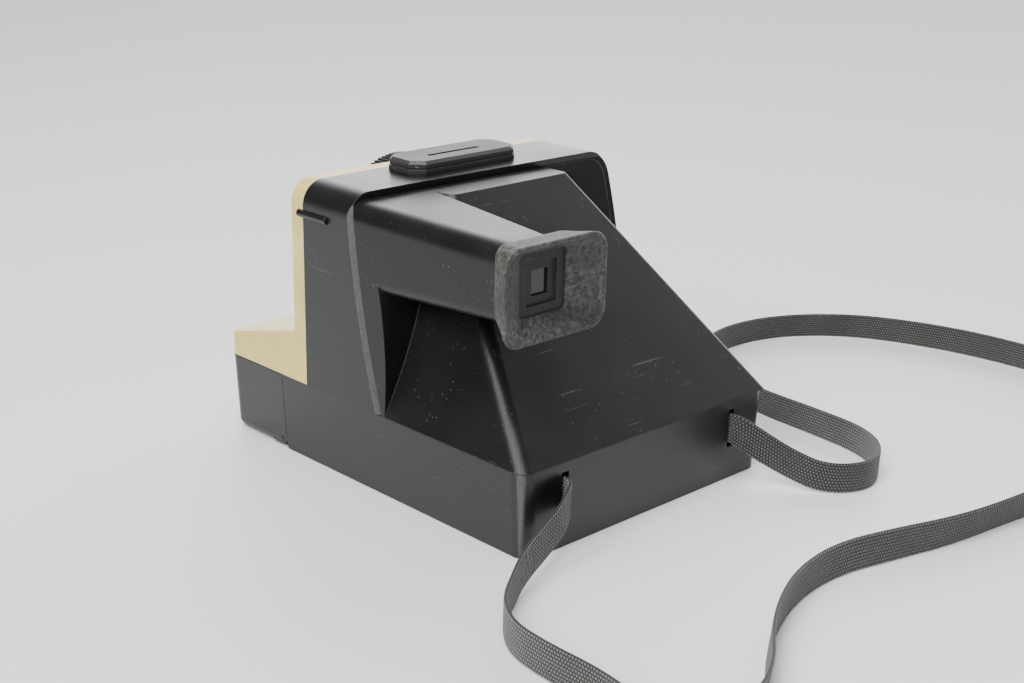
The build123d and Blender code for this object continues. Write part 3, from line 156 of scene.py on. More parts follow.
# ---------------------------------------------------------------- node graphs
@dataclass
class Graph:
    """The node tree of one material while it is put together."""

    name: str
    material: bpy.types.Material = field(init=False)
    surface: bpy.types.Node = field(init=False)

    def __post_init__(self) -> None:
        """Start a material with a plain shader and its output."""
        self.material = bpy.data.materials.new(self.name)
        self.material.use_nodes = True
        self.material.node_tree.nodes.clear()
        output = self.node("ShaderNodeOutputMaterial")
        self.surface = self.node("ShaderNodeBsdfPrincipled")
        self.link(self.surface.outputs["BSDF"], output.inputs["Surface"])

    def node(self, kind: str) -> bpy.types.Node:
        """Add a node of a kind and return it."""
        return self.material.node_tree.nodes.new(kind)

    def link(self, source: bpy.types.NodeSocket, target: bpy.types.NodeSocket) -> None:
        """Join an output socket to an input socket."""
        self.material.node_tree.links.new(source, target)

    def feed(self, target: bpy.types.NodeSocket, value: object) -> None:
        """Give an input a constant or the output of another node."""
        if isinstance(value, bpy.types.NodeSocket):
            self.link(value, target)
        elif isinstance(value, tuple) and len(value) == 3 and target.type == "RGBA":
            target.default_value = (*value, 1.0)
        else:
            target.default_value = value

    def place(self) -> bpy.types.NodeSocket:
        """Object coordinates of the surface, in metres."""
        return self.node("ShaderNodeTexCoord").outputs["Object"]

    def stretched(self, scale: Colour, turn: Colour = (0, 0, 0)) -> bpy.types.NodeSocket:
        """Object coordinates, turned and then scaled.

        Args:
            scale: Scale on each axis.
            turn: Rotation about each axis, in radians.

        Returns:
            Vector socket.
        """
        mapping = self.node("ShaderNodeMapping")
        mapping.inputs["Scale"].default_value = scale
        mapping.inputs["Rotation"].default_value = turn
        self.link(self.place(), mapping.inputs["Vector"])
        return mapping.outputs["Vector"]

    def noise(self, size: float, detail: float = 3.0, rough: float = 0.5,
              vector: bpy.types.NodeSocket | None = None) -> bpy.types.NodeSocket:
        """Cloudy noise whose patches are about one size.

        Args:
            size: Size of a patch in metres.
            detail: Number of finer layers.
            rough: Strength of the finer layers.
            vector: Coordinates, or None for Object coordinates.

        Returns:
            Value socket from 0 to 1.
        """
        texture = self.node("ShaderNodeTexNoise")
        texture.inputs["Scale"].default_value = 1.0 / size
        texture.inputs["Detail"].default_value = detail
        texture.inputs["Roughness"].default_value = rough
        self.link(vector or self.place(), texture.inputs["Vector"])
        return texture.outputs["Fac"]

    def cells(self, size: float, feature: str = "F1", output: str = "Distance",
              vector: bpy.types.NodeSocket | None = None) -> bpy.types.NodeSocket:
        """Cell pattern with one cell per size of metres.

        Args:
            size: Size of a cell in metres.
            feature: Which distance is measured.
            output: Output to read.
            vector: Coordinates, or None for Object coordinates.

        Returns:
            The chosen output socket.
        """
        texture = self.node("ShaderNodeTexVoronoi")
        texture.feature = feature
        texture.inputs["Scale"].default_value = 1.0 / size
        self.link(vector or self.place(), texture.inputs["Vector"])
        return texture.outputs[output]

    def math(self, kind: str, first: object, second: object = 0.0) -> bpy.types.NodeSocket:
        """Result of a maths step on one or two values.

        Args:
            kind: Blender's name of the step, such as MULTIPLY.
            first: Number or socket.
            second: Number or socket.

        Returns:
            Value socket.
        """
        step = self.node("ShaderNodeMath")
        step.operation = kind
        self.feed(step.inputs[0], first)
        self.feed(step.inputs[1], second)
        return step.outputs[0]

    def spread(self, value: bpy.types.NodeSocket, low: float, high: float,
               out_low: float = 0.0, out_high: float = 1.0) -> bpy.types.NodeSocket:
        """Stretch a value's range to another range, and stop at its ends.

        Args:
            value: Socket to stretch.
            low: Value that gives out_low.
            high: Value that gives out_high.
            out_low: Lower result.
            out_high: Upper result.

        Returns:
            Value socket.
        """
        step = self.node("ShaderNodeMapRange")
        for index, number in enumerate((low, high, out_low, out_high), start=1):
            step.inputs[index].default_value = number
        self.link(value, step.inputs[0])
        return step.outputs[0]

    def mix(self, share: object, first: object, second: object) -> bpy.types.NodeSocket:
        """Blend two colours by a share from 0 to 1.

        Args:
            share: Number or socket.
            first: Colour or socket at 0.
            second: Colour or socket at 1.

        Returns:
            Colour socket.
        """
        blend = self.node("ShaderNodeMix")
        blend.data_type = "RGBA"
        self.feed(blend.inputs["Factor"], share)
        self.feed(blend.inputs[6], first)
        self.feed(blend.inputs[7], second)
        return blend.outputs[2]

    def bump(self, height: bpy.types.NodeSocket, depth: float, strength: float = 1.0,
             under: bpy.types.NodeSocket | None = None) -> bpy.types.NodeSocket:
        """Relief from a height value.

        Args:
            height: Height from 0 to 1.
            depth: Depth in metres that a height of 1 stands for.
            strength: Share of the relief that is used.
            under: Normal of a relief that lies under this one.

        Returns:
            Normal socket.
        """
        relief = self.node("ShaderNodeBump")
        relief.inputs["Strength"].default_value = strength
        relief.inputs["Distance"].default_value = depth
        self.link(height, relief.inputs["Height"])
        if under is not None:
            self.link(under, relief.inputs["Normal"])
        return relief.outputs["Normal"]

    def rounded(self, radius: float) -> tuple[bpy.types.NodeSocket, bpy.types.NodeSocket]:
        """Normal with softened edges, and how near an edge each point is.

        The nearness is how far the softened normal turns from the face's own normal.

        Args:
            radius: Radius of the softened edges in metres.

        Returns:
            Normal socket, and a value socket that is 1 on an edge.
        """
        soft = self.node("ShaderNodeBevel")
        soft.samples = 4
        soft.inputs["Radius"].default_value = radius
        own = self.node("ShaderNodeNewGeometry")
        turn = self.node("ShaderNodeVectorMath")
        turn.operation = "DOT_PRODUCT"
        self.link(soft.outputs["Normal"], turn.inputs[0])
        self.link(own.outputs["True Normal"], turn.inputs[1])
        return soft.outputs["Normal"], self.spread(turn.outputs["Value"], 0.99, 0.86)

    def facing(self, direction: Colour, low: float, high: float) -> bpy.types.NodeSocket:
        """Share of a face that points along a direction.

        Args:
            direction: Unit vector.
            low: Cosine that gives 0.
            high: Cosine that gives 1.

        Returns:
            Value socket.
        """
        own = self.node("ShaderNodeNewGeometry")
        turn = self.node("ShaderNodeVectorMath")
        turn.operation = "DOT_PRODUCT"
        turn.inputs[1].default_value = direction
        self.link(own.outputs["True Normal"], turn.inputs[0])
        return self.spread(turn.outputs["Value"], low, high)

    def dust(self) -> bpy.types.NodeSocket:
        """Sparse specks of dust: small cells that a coarse noise lets through.

        Returns:
            Value socket, 1 on a speck.
        """
        speck = self.spread(self.cells(1.7 * MM), 0.10, 0.05)
        patchy = self.spread(self.noise(14 * MM, 3.0, 0.6), 0.52, 0.60)
        return self.math("MULTIPLY", speck, patchy)

    def scratches(self) -> bpy.types.NodeSocket:
        """Hairline rub marks: long thin streaks of noise, let through in patches.

        Returns:
            Value socket, 1 on a mark.
        """
        along = self.noise(1.0, 1.0, 0.5, self.stretched((25.0, 900.0, 900.0), (0.15, 0.1, 0.6)))
        aside = self.noise(1.0, 1.0, 0.5, self.stretched((900.0, 30.0, 900.0), (0.1, 0.2, 0.3)))
        lines = self.math("MAXIMUM", self.spread(along, 0.70, 0.74), self.spread(aside, 0.71, 0.75))
        return self.math("MULTIPLY", lines, self.spread(self.noise(18 * MM, 2.0), 0.50, 0.60))

    def done(self, **inputs: object) -> bpy.types.Material:
        """Set the shader's inputs and hand over the material.

        Args:
            **inputs: Input names with underscores for spaces, and their values or sockets.

        Returns:
            The finished material.
        """
        for name, value in inputs.items():
            self.feed(self.surface.inputs[name.replace("_", " ")], value)
        return self.material


# -------------------------------------------------------------------- finishes
class Grain(Enum):
    """How coarse the texture of a moulding is, in metres."""

    FINE = 0.25 * MM
    LEATHERETTE = 0.55 * MM
    COARSE = 0.9 * MM


@dataclass(frozen=True)
class Moulding:
    """Injection-moulded plastic with grain, handling marks and dust, an optional painted highlight on the
    seam chamfer, and an edge colour that is wear on most finishes and a painted highlight on the beige.
    """

    name: str
    colour: Colour
    rough: float
    grain: Grain = Grain.FINE
    depth: float = 0.02 * MM
    dust: float = 0.5
    wear: float = 0.3
    dust_colour: Colour = (0.42, 0.41, 0.38)
    worn: Colour = (0.09, 0.09, 0.09)
    edge: float = 0.35 * MM
    rub: float = 0.6
    seam: float = 0.0
    film: float = 0.0

    def make(self) -> bpy.types.Material:
        """Build the material."""
        graph = Graph(self.name)
        clouds = graph.noise(22 * MM, 4.0, 0.55)
        grain = graph.noise(self.grain.value, 2.0, 0.6)
        pale = tuple(min(1.0, part * 1.2 + 0.002) for part in self.colour)
        dark = tuple(part * 0.85 for part in self.colour)
        colour = graph.mix(graph.spread(clouds, 0.3, 0.7), dark, pale)
        normal, edge = graph.rounded(self.edge)
        # Edge colour: grey wear on the black finishes and the eyecup; on the beige shell this colour is its
        # lit tone, a painted highlight along the edges.
        rubbed_and_lit_edges = graph.spread(graph.noise(3 * MM, 3.0, 0.7), 0.35, 0.65, 0.35, 1.0)
        rubbed_and_lit_edges = graph.math("MULTIPLY", graph.math("MULTIPLY", edge, rubbed_and_lit_edges), self.rub)
        colour = graph.mix(rubbed_and_lit_edges, colour, self.worn)
        specks = graph.math("MULTIPLY", graph.dust(), self.dust)
        marks = graph.math("MULTIPLY", graph.scratches(), self.wear)
        haze = graph.math("MAXIMUM", specks, marks)
        if self.film > 0:
            mottle = graph.spread(graph.noise(1.6 * MM, 6.0, 0.8), 0.42, 0.72, 0.0, self.film)
            drifts = graph.spread(graph.noise(9 * MM, 2.0), 0.35, 0.65, 0.45, 1.0)
            haze = graph.math("MAXIMUM", haze, graph.math("MULTIPLY", mottle, drifts))
        if self.seam > 0:
            # Painted highlight: a pale band in the dust colour on the +X seam chamfer's faces that point
            # along (0.707, 0.707, 0), standing in for light on the chamfer.
            place = graph.node("ShaderNodeSeparateXYZ")
            graph.link(graph.place(), place.inputs[0])
            flank = graph.spread(place.outputs["X"], 53.5 * MM, 54.2 * MM)
            chamfer_highlight_mask = graph.math("MULTIPLY", graph.facing((0.707, 0.707, 0.0), 0.90, 0.97), flank)
            uneven = graph.spread(graph.noise(1.5 * MM, 3.0, 0.7), 0.3, 0.7, 0.6, 1.0)
            chamfer_highlight_mask = graph.math("MULTIPLY", chamfer_highlight_mask, uneven)
            # From here haze also holds the painted seam highlight, besides dust and marks.
            haze = graph.math("MAXIMUM", haze, graph.math("MULTIPLY", chamfer_highlight_mask, self.seam))
        colour = graph.mix(haze, colour, self.dust_colour)
        rough = graph.spread(clouds, 0.25, 0.75, self.rough - 0.04, self.rough + 0.06)
        rough = graph.math("ADD", rough, graph.math("MULTIPLY", haze, 0.12))
        shaded = graph.bump(grain, self.depth, under=normal)
        return graph.done(Base_Color=colour, Roughness=rough, Normal=shaded)


@dataclass(frozen=True)
class CoverMoulding:
    """Black rear cover: a pebbled slope, and smoother sides and top."""

    name: str = "black_cover_moulding"
    slope: Colour = (0.0, 0.71, 0.704)
    pebble: float = 0.42 * MM
    relief: float = 0.022 * MM

    def make(self) -> bpy.types.Material:
        """Build the material; the pebbles fade out on faces that turn away from the slope."""
        graph = Graph(self.name)
        graph.surface.inputs["Specular IOR Level"].default_value = 0.32
        clouds = graph.noise(26 * MM, 4.0, 0.55)
        slope = graph.facing(self.slope, 0.86, 0.98)
        pebble = graph.cells(self.pebble, "SMOOTH_F1")
        grit = graph.noise(0.3 * MM, 2.0, 0.6)
        height = graph.math("ADD", graph.math("MULTIPLY", pebble, slope), graph.math("MULTIPLY", grit, 0.25))
        colour = graph.mix(graph.spread(clouds, 0.3, 0.7), (0.0055, 0.0055, 0.006), (0.0085, 0.0085, 0.009))
        matte = graph.mix(graph.spread(clouds, 0.3, 0.7), (0.006, 0.006, 0.0063), (0.009, 0.009, 0.0093))
        colour = graph.mix(slope, colour, matte)
        normal, edge = graph.rounded(0.5 * MM)
        colour = graph.mix(graph.math("MULTIPLY", edge, 0.5), colour, (0.09, 0.09, 0.09))
        specks = graph.math("MULTIPLY", graph.dust(), 0.55)
        marks = graph.math("MULTIPLY", graph.scratches(), 0.12)
        colour = graph.mix(graph.math("MAXIMUM", specks, marks), colour, (0.40, 0.39, 0.36))
        patches = graph.spread(clouds, 0.25, 0.75, 0.30, 0.38)
        rough = graph.math("ADD", patches, graph.math("MULTIPLY", slope, 0.07))
        shaded = graph.bump(height, self.relief, under=normal)
        return graph.done(Base_Color=colour, Roughness=rough, Normal=shaded)


@dataclass(frozen=True)
class Metal:
    """Bare or plated metal with drawn lines along one axis."""

    name: str
    colour: Colour
    rough: float
    along: Colour = (40.0, 1500.0, 1500.0)

    def make(self) -> bpy.types.Material:
        """Build the material."""
        graph = Graph(self.name)
        lines = graph.noise(1.0, 2.0, 0.5, graph.stretched(self.along))
        clouds = graph.noise(8 * MM, 3.0)
        dull = tuple(part * 0.75 for part in self.colour)
        colour = graph.mix(graph.spread(clouds, 0.35, 0.7), self.colour, dull)
        rough = graph.spread(lines, 0.3, 0.7, self.rough - 0.06, self.rough + 0.1)
        shaded = graph.bump(lines, 0.006 * MM)
        return graph.done(Base_Color=colour, Roughness=rough, Metallic=1.0, Normal=shaded)


@dataclass(frozen=True)
class Pane:
    """Clear glass, or near-black glass that paints the shade behind the eyepiece, with a faint smear."""

    name: str
    colour: Colour
    rough: float = 0.03
    clear: float = 0.9

    def make(self) -> bpy.types.Material:
        """Build the material."""
        graph = Graph(self.name)
        smear = graph.spread(graph.noise(5 * MM, 3.0), 0.4, 0.7, self.rough, self.rough + 0.05)
        tint = graph.mix(graph.noise(9 * MM), self.colour, tuple(part * 0.9 for part in self.colour))
        graph.surface.inputs["IOR"].default_value = 1.5
        graph.surface.inputs["Transmission Weight"].default_value = self.clear
        return graph.done(Base_Color=tint, Roughness=smear)


@dataclass(frozen=True)
class Silvering:
    """Front-silvered mirror glass with faint haze."""

    name: str = "silvered_mirror"

    def make(self) -> bpy.types.Material:
        """Build the material."""
        graph = Graph(self.name)
        haze = graph.spread(graph.noise(12 * MM), 0.4, 0.8, 0.02, 0.09)
        colour = graph.mix(graph.noise(30 * MM), (0.83, 0.84, 0.86), (0.90, 0.91, 0.92))
        return graph.done(Base_Color=colour, Roughness=haze, Metallic=1.0)


@dataclass(frozen=True)
class Webbing:
    """Black woven band: rows of raised picks, every other column half a step on; the crests are painted with
    highlight and the hollows with shade.
    """

    name: str = "woven_band"
    columns: int = 10
    pick: float = 1.05 * MM

    def make(self) -> bpy.types.Material:
        """Build the material from the band's own UV map, across it from 0 to 1 and along it in metres."""
        graph = Graph(self.name)
        uv = graph.node("ShaderNodeUVMap")
        uv.uv_map = "band"
        split = graph.node("ShaderNodeSeparateXYZ")
        graph.link(uv.outputs["UV"], split.inputs[0])
        across = graph.math("MULTIPLY", split.outputs["X"], float(self.columns))
        along = graph.math("MULTIPLY", split.outputs["Y"], 1.0 / self.pick)
        column = graph.math("FLOOR", across)
        odd = graph.math("MULTIPLY", graph.math("MODULO", column, 2.0), 0.5)
        along = graph.math("ADD", along, odd)
        wide = graph.math("SINE", graph.math("MULTIPLY", graph.math("FRACT", across), math.pi))
        long = graph.math("SINE", graph.math("MULTIPLY", graph.math("FRACT", along), math.pi))
        hill = graph.math("MULTIPLY", graph.math("POWER", wide, 1.1), graph.math("POWER", long, 1.2))
        fibre = graph.noise(0.16 * MM, 2.0, 0.7)
        hill = graph.math("ADD", graph.math("MULTIPLY", hill, 0.85), graph.math("MULTIPLY", fibre, 0.15))
        fade = graph.spread(graph.noise(16 * MM, 3.0), 0.35, 0.7, 0.8, 1.25)
        # Painted highlight and shade: pale crests and near-black hollows stand in for light on the weave.
        crest_highlight = graph.spread(hill, 0.35, 0.85)
        colour = graph.mix(crest_highlight, (0.003, 0.003, 0.003), (0.115, 0.110, 0.100))
        graph.surface.inputs["Sheen Weight"].default_value = 0.25
        graph.surface.inputs["Sheen Roughness"].default_value = 0.5
        tone = graph.node("ShaderNodeMix")
        tone.data_type = "RGBA"
        tone.blend_type = "MULTIPLY"
        tone.inputs["Factor"].default_value = 1.0
        graph.link(colour, tone.inputs[6])
        graph.link(fade, tone.inputs[7])
        rough = graph.spread(crest_highlight, 0.0, 1.0, 0.8, 0.5)
        return graph.done(Base_Color=tone.outputs[2], Roughness=rough, Normal=graph.bump(hill, 0.45 * MM))


class Finish(Enum):
    """Finish of each material slot of the camera."""

    # black_shell: a pale painted highlight on the seam chamfer of the body.
    black_shell = Moulding(
        "black_side_moulding", (0.0045, 0.0045, 0.0048), 0.32, Grain.FINE, 0.006 * MM, 0.5, 0.08, seam=0.22
    )
    black_door = Moulding(
        "black_door_moulding", (0.008, 0.008, 0.0085), 0.33, Grain.FINE, 0.008 * MM, 0.5, 0.08
    )
    # beige_shell: its edge colour is the lit beige tone, a painted highlight along the edges.
    beige_shell = Moulding(
        "beige_front_moulding", (0.67, 0.53, 0.18), 0.36, Grain.FINE, 0.006 * MM, 0.15, 0.05,
        (0.35, 0.30, 0.20),
        worn=(0.68, 0.59, 0.38), rub=0.4,
    )
    inner_plastic = Moulding(
        "dull_black_inside", (0.012, 0.012, 0.012), 0.62, Grain.LEATHERETTE, 0.015 * MM, 0.1, 0.1
    )
    eyecup_plastic = Moulding(
        "eyecup_moulding", (0.014, 0.0135, 0.0125), 0.55, Grain.LEATHERETTE, 0.03 * MM, 0.8, 0.2,
        worn=(0.10, 0.095, 0.08), edge=1.0 * MM, rub=0.35, film=0.36,
    )
    red_plastic = Moulding("red_button_moulding", (0.55, 0.02, 0.015), 0.3, Grain.FINE, 0.004 * MM, 0.1, 0.2)
    gear_plastic = Moulding("white_gear_moulding", (0.72, 0.70, 0.63), 0.45, Grain.FINE, 0.01 * MM, 0.1, 0.1)
    board = Moulding("green_board", (0.05, 0.13, 0.04), 0.4, Grain.COARSE, 0.01 * MM, 0.1, 0.1)
    cell = Moulding("photocell_face", (0.12, 0.03, 0.02), 0.3, Grain.LEATHERETTE, 0.01 * MM, 0.0, 0.0)
    steel = Metal("plain_steel", (0.56, 0.56, 0.57), 0.34)
    roller_steel = Metal("ground_roller_steel", (0.66, 0.66, 0.67), 0.22)
    brass = Metal("machined_brass", (0.72, 0.55, 0.26), 0.28)
    contact_metal = Metal("plated_contact", (0.78, 0.63, 0.36), 0.25)
    blade_metal = Metal("blackened_blade", (0.05, 0.05, 0.052), 0.4)
    copper = Metal("wound_wire", (0.70, 0.36, 0.20), 0.35, (3000.0, 60.0, 60.0))
    lens_glass = Pane("lens_glass", (0.86, 0.90, 0.93), 0.01, 0.95)
    window_glass = Pane("window_glass", (0.70, 0.72, 0.74), 0.03, 0.85)
    mirror = Silvering()
    strap_fabric = Webbing()


@dataclass
class Wardrobe:
    """Makes each finish once and dresses pieces with it."""

    made: dict[str, bpy.types.Material] = field(default_factory=dict)

    def material(
        self, finish: Moulding | CoverMoulding | Metal | Pane | Silvering | Webbing
    ) -> bpy.types.Material:
        """Return the material of a finish, making it the first time.

        Args:
            finish: Finish to make.

        Returns:
            Its material.
        """
        if finish.name not in self.made:
            self.made[finish.name] = finish.make()
        return self.made[finish.name]

    def dress(self, piece: bpy.types.Object, finish: object) -> bpy.types.Object:
        """Give a whole piece one finish.

        Args:
            piece: Object to dress.
            finish: Finish that it gets.

        Returns:
            The same object.
        """
        piece.data.materials.clear()
        piece.data.materials.append(self.material(finish))
        return piece


# --------------------------------------------------------------- sub-assemblies
@dataclass
class NeckStrap:
    """Woven neck strap that stands on its edge on the table, from one rear slot to the other."""

    width: float = 10.0 * MM
    thickness: float = 1.1 * MM
    spacing: float = 1.2 * MM
    slot_x: float = 38.5 * MM
    slot_y: float = 73.0 * MM
    slot_z: float = 17.5 * MM
    pin_y: float = 71.0 * MM
    # middle of the band, in millimetres, from the +X slot to the -X slot
    route: tuple[Colour, ...] = (
        (38.5, 75.0, 17.5), (44.0, 79.5, 15.0), (54.0, 81.5, 10.5), (66.0, 84.5, 7.0),
        (76.5, 90.5, 5.0), (86.5, 97.5, 5.0), (94.0, 108.5, 5.0), (95.5, 123.0, 5.0), (95.0, 139.0, 5.0),
        (97.0, 154.5, 5.0), (89.5, 168.5, 5.0), (74.5, 172.0, 5.0), (60.0, 165.5, 5.0), (46.5, 155.0, 5.0),
        (31.0, 146.0, 5.0), (13.0, 139.5, 5.0), (-7.0, 138.0, 5.0), (-27.5, 143.5, 5.0), (-50.0, 150.5, 5.0),
        (-78.0, 154.5, 5.0), (-109.0, 158.0, 5.0), (-142.0, 156.0, 5.0), (-173.0, 145.0, 5.0),
        (-198.5, 123.5, 5.0), (-212.0, 95.0, 5.0), (-212.0, 66.0, 5.0), (-205.5, 37.5, 5.0),
        (-192.5, 11.5, 5.0), (-168.5, -7.0, 5.0), (-139.0, -11.5, 5.0), (-112.5, -2.0, 5.0),
        (-97.5, 20.0, 5.0), (-92.5, 46.0, 5.0), (-91.0, 70.5, 5.0), (-88.5, 91.5, 5.0), (-78.5, 105.5, 5.0),
        (-63.5, 110.0, 5.0), (-51.5, 101.5, 5.0), (-48.0, 89.5, 8.0), (-44.0, 80.5, 12.5),
        (-38.5, 75.0, 17.5),
    )
    # lean of the band from upright: share of its length, degrees
    leans: tuple[tuple[float, float], ...] = (
        (0.0, 0.0), (0.03, 6.0), (0.12, -8.0), (0.2, 10.0), (0.3, -10.0), (0.36, 12.0), (0.5, -6.0),
        (0.62, 8.0), (0.7, -10.0), (0.8, 10.0), (0.9, -6.0), (0.97, 6.0), (1.0, 0.0),
    )

    def centreline(self) -> Array:
        """Points of the route's NURBS spline, an even distance apart.

        Returns:
            Array of shape (count, 3), in metres.
        """
        curve = bpy.data.curves.new("strap_route", "CURVE")
        curve.dimensions = "3D"
        curve.resolution_u = 24
        spline = curve.splines.new("NURBS")
        points = np.array(self.route) * MM
        spline.points.add(len(points) - 1)
        spline.points.foreach_set("co", np.column_stack([points, np.ones(len(points))]).ravel())
        spline.order_u = 3
        spline.use_endpoint_u = True
        holder = bpy.data.objects.new("strap_route", curve)
        bpy.context.scene.collection.objects.link(holder)
        bpy.context.view_layer.update()
        line = bpy.data.meshes.new_from_object(holder)
        found = np.empty(len(line.vertices) * 3)
        line.vertices.foreach_get("co", found)
        bpy.data.objects.remove(holder)
        bpy.data.meshes.remove(line)
        found = found.reshape(-1, 3)
        lead = np.array([[self.slot_x, self.pin_y, self.slot_z], [self.slot_x, self.slot_y, self.slot_z]])
        found = np.vstack([lead, found, lead[::-1] * (-1, 1, 1)])
        steps = np.r_[0.0, np.cumsum(np.linalg.norm(np.diff(found, axis=0), axis=1))]
        even = np.linspace(0, steps[-1], int(steps[-1] / self.spacing))
        return np.column_stack([np.interp(even, steps, found[:, axis]) for axis in range(3)])

    def band(self, line: Array) -> Array:
        """Rings of the band's thin rounded section along its centreline.

        The band's width points upwards, square to its path, and leans by a smooth angle. A ring's
        point at angle a lies at half width * |cos a|^0.25 across and half thickness * |sin a|^0.6 out.

        Args:
            line: Centreline points.

        Returns:
            Array of shape (stations, points, 3).
        """
        ahead = np.gradient(line, axis=0)
        ahead = np.column_stack(
            [np.convolve(np.pad(ahead[:, k], 3, "edge"), np.ones(7) / 7, "valid") for k in range(3)]
        )
        ahead /= np.linalg.norm(ahead, axis=1)[:, None]
        upward = np.array([0.0, 0.0, 1.0]) - ahead * ahead[:, 2:3]
        upward /= np.linalg.norm(upward, axis=1)[:, None]
        outward = np.cross(ahead, upward)
        share = np.linspace(0, 1, len(line))
        stops = np.array(self.leans)
        lean = np.interp(share, stops[:, 0], stops[:, 1])
        window = np.hanning(41) / np.hanning(41).sum()
        lean = np.radians(np.convolve(np.pad(lean, 20, "edge"), window, "valid"))[:, None]
        across = upward * np.cos(lean) + outward * np.sin(lean)
        out = outward * np.cos(lean) - upward * np.sin(lean)
        angle = np.linspace(0, 2 * math.pi, 28, endpoint=False)
        wide = np.sign(np.cos(angle)) * np.abs(np.cos(angle)) ** 0.25 * self.width / 2
        thick = np.sign(np.sin(angle)) * np.abs(np.sin(angle)) ** 0.6 * self.thickness / 2
        rings = line[:, None] + across[:, None] * wide[None, :, None] + out[:, None] * thick[None, :, None]
        rings[..., 2] = np.maximum(rings[..., 2], 0.00005)
        return rings

    def build(self, wardrobe: Wardrobe) -> bpy.types.Object:
        """Make the band and its UV map.

        Args:
            wardrobe: Where finishes come from.

        Returns:
            The strap.
        """
        line = self.centreline()
        rings = self.band(line)
        strap = loft(rings, "neck_strap_band", cap_ends=True)
        points = rings.shape[1]
        angle = np.linspace(0, 2 * math.pi, points, endpoint=False)
        across = 0.5 + 0.5 * np.sign(np.cos(angle)) * np.abs(np.cos(angle)) ** 0.25
        steps = np.r_[0.0, np.cumsum(np.linalg.norm(np.diff(line, axis=0), axis=1))]
        loops = np.empty(len(strap.data.loops), int)
        strap.data.loops.foreach_get("vertex_index", loops)
        layer = strap.data.uv_layers.new(name="band")
        places = np.column_stack([across[loops % points], steps[loops // points]])
        layer.data.foreach_set("uv", places.ravel())
        wardrobe.dress(strap, Finish.strap_fabric.value)
        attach(strap, "camera_body")
        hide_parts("strap")
        log.info("neck strap: %.3f m long, %d faces", steps[-1], len(strap.data.polygons))
        return strap


@dataclass
class EyeCup:
    """Flared soft eyecup with a rounded lip and a deep stepped window."""

    steps: int = 12

    def stations(self) -> Array:
        """Sections of the cup, from its foot over its lip and down to its window.

        Returns:
            Array of rows: y, centre x, centre z, width, height and corner radius, in millimetres.
        """
        return np.array([
            (61.02, 42.2, 81.0, 29.4, 23.6, 4.0),
            (61.60, 42.0, 80.9, 30.2, 24.0, 4.2),
            (63.50, 40.9, 79.9, 33.9, 25.6, 4.8),
            (65.60, 39.3, 78.7, 38.6, 27.8, 5.6),
            (66.60, 38.7, 78.1, 40.9, 29.0, 6.0),
            (67.10, 38.6, 78.0, 41.3, 29.3, 6.0),
            (67.42, 38.6, 78.0, 41.0, 29.0, 5.9),
            (67.58, 38.6, 78.0, 40.2, 28.2, 5.5),
            (67.58, 38.6, 78.0, 39.2, 27.2, 5.0),
            (67.40, 38.6, 78.0, 38.3, 26.3, 4.6),
            (67.00, 38.7, 78.1, 37.6, 25.6, 4.3),
            (66.00, 39.1, 78.5, 33.4, 24.0, 3.7),
            (64.60, 39.7, 79.1, 25.6, 21.4, 2.8),
            (63.60, 40.0, 79.5, 20.0, 19.4, 2.0),
            (63.30, 40.0, 79.5, 18.9, 18.8, 1.7),
            (62.90, 40.0, 79.5, 18.6, 18.6, 1.6),
            (61.02, 40.0, 79.5, 18.6, 18.6, 1.6),
        ])

    def build(self, wardrobe: Wardrobe) -> bpy.types.Object:
        """Loft the cup's sections into one closed soft moulding.

        Args:
            wardrobe: Where finishes come from.

        Returns:
            The eyecup.
        """
        rows = self.stations()
        ring = rounded_ring(rows[:, 3], rows[:, 4], rows[:, 5], self.steps)
        rings = np.empty((*ring.shape[:2], 3))
        rings[..., 0] = ring[..., 0] + rows[:, None, 1]
        rings[..., 1] = rows[:, None, 0]
        rings[..., 2] = ring[..., 1] + rows[:, None, 2]
        rings = np.concatenate([rings, rings[:1]]) * MM
        cup = face_outwards(loft(rings, "soft_eyecup"))
        wardrobe.dress(cup, Finish.eyecup_plastic.value)
        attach(cup, "camera_body")
        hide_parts("eyecup")
        log.info("eyecup: %d faces", len(cup.data.polygons))
        return cup


@dataclass
class Casework:
    """The camera's moulded shells and every other carried-over part."""

    def dress(self, wardrobe: Wardrobe) -> None:
        """Give each carried-over part the finish of its material slot.

        Args:
            wardrobe: Where finishes come from.
        """
        for entry in frame["record"]["subparts"]:
            piece = frame["nodes"][entry["node"]]
            wardrobe.dress(piece, Finish[entry["material_slot"]].value)
        wardrobe.dress(frame["nodes"]["rear_cover"], CoverMoulding())
        socket = Moulding("socket_moulding", (0.024, 0.024, 0.0245), 0.50, worn=(0.10, 0.10, 0.10))
        wardrobe.dress(frame["nodes"]["flash_socket"], socket)
        # Painted shade: the eyepiece glass is near-black and almost opaque, standing in for the shade inside
        # the camera behind it.
        painted_shade_pane = Pane("eyepiece_painted_shade", (0.02, 0.02, 0.022), 0.05, 0.1)
        wardrobe.dress(frame["nodes"]["eyepiece_lens"], painted_shade_pane)
        log.info("dressed %d carried-over parts", len(frame["nodes"]))


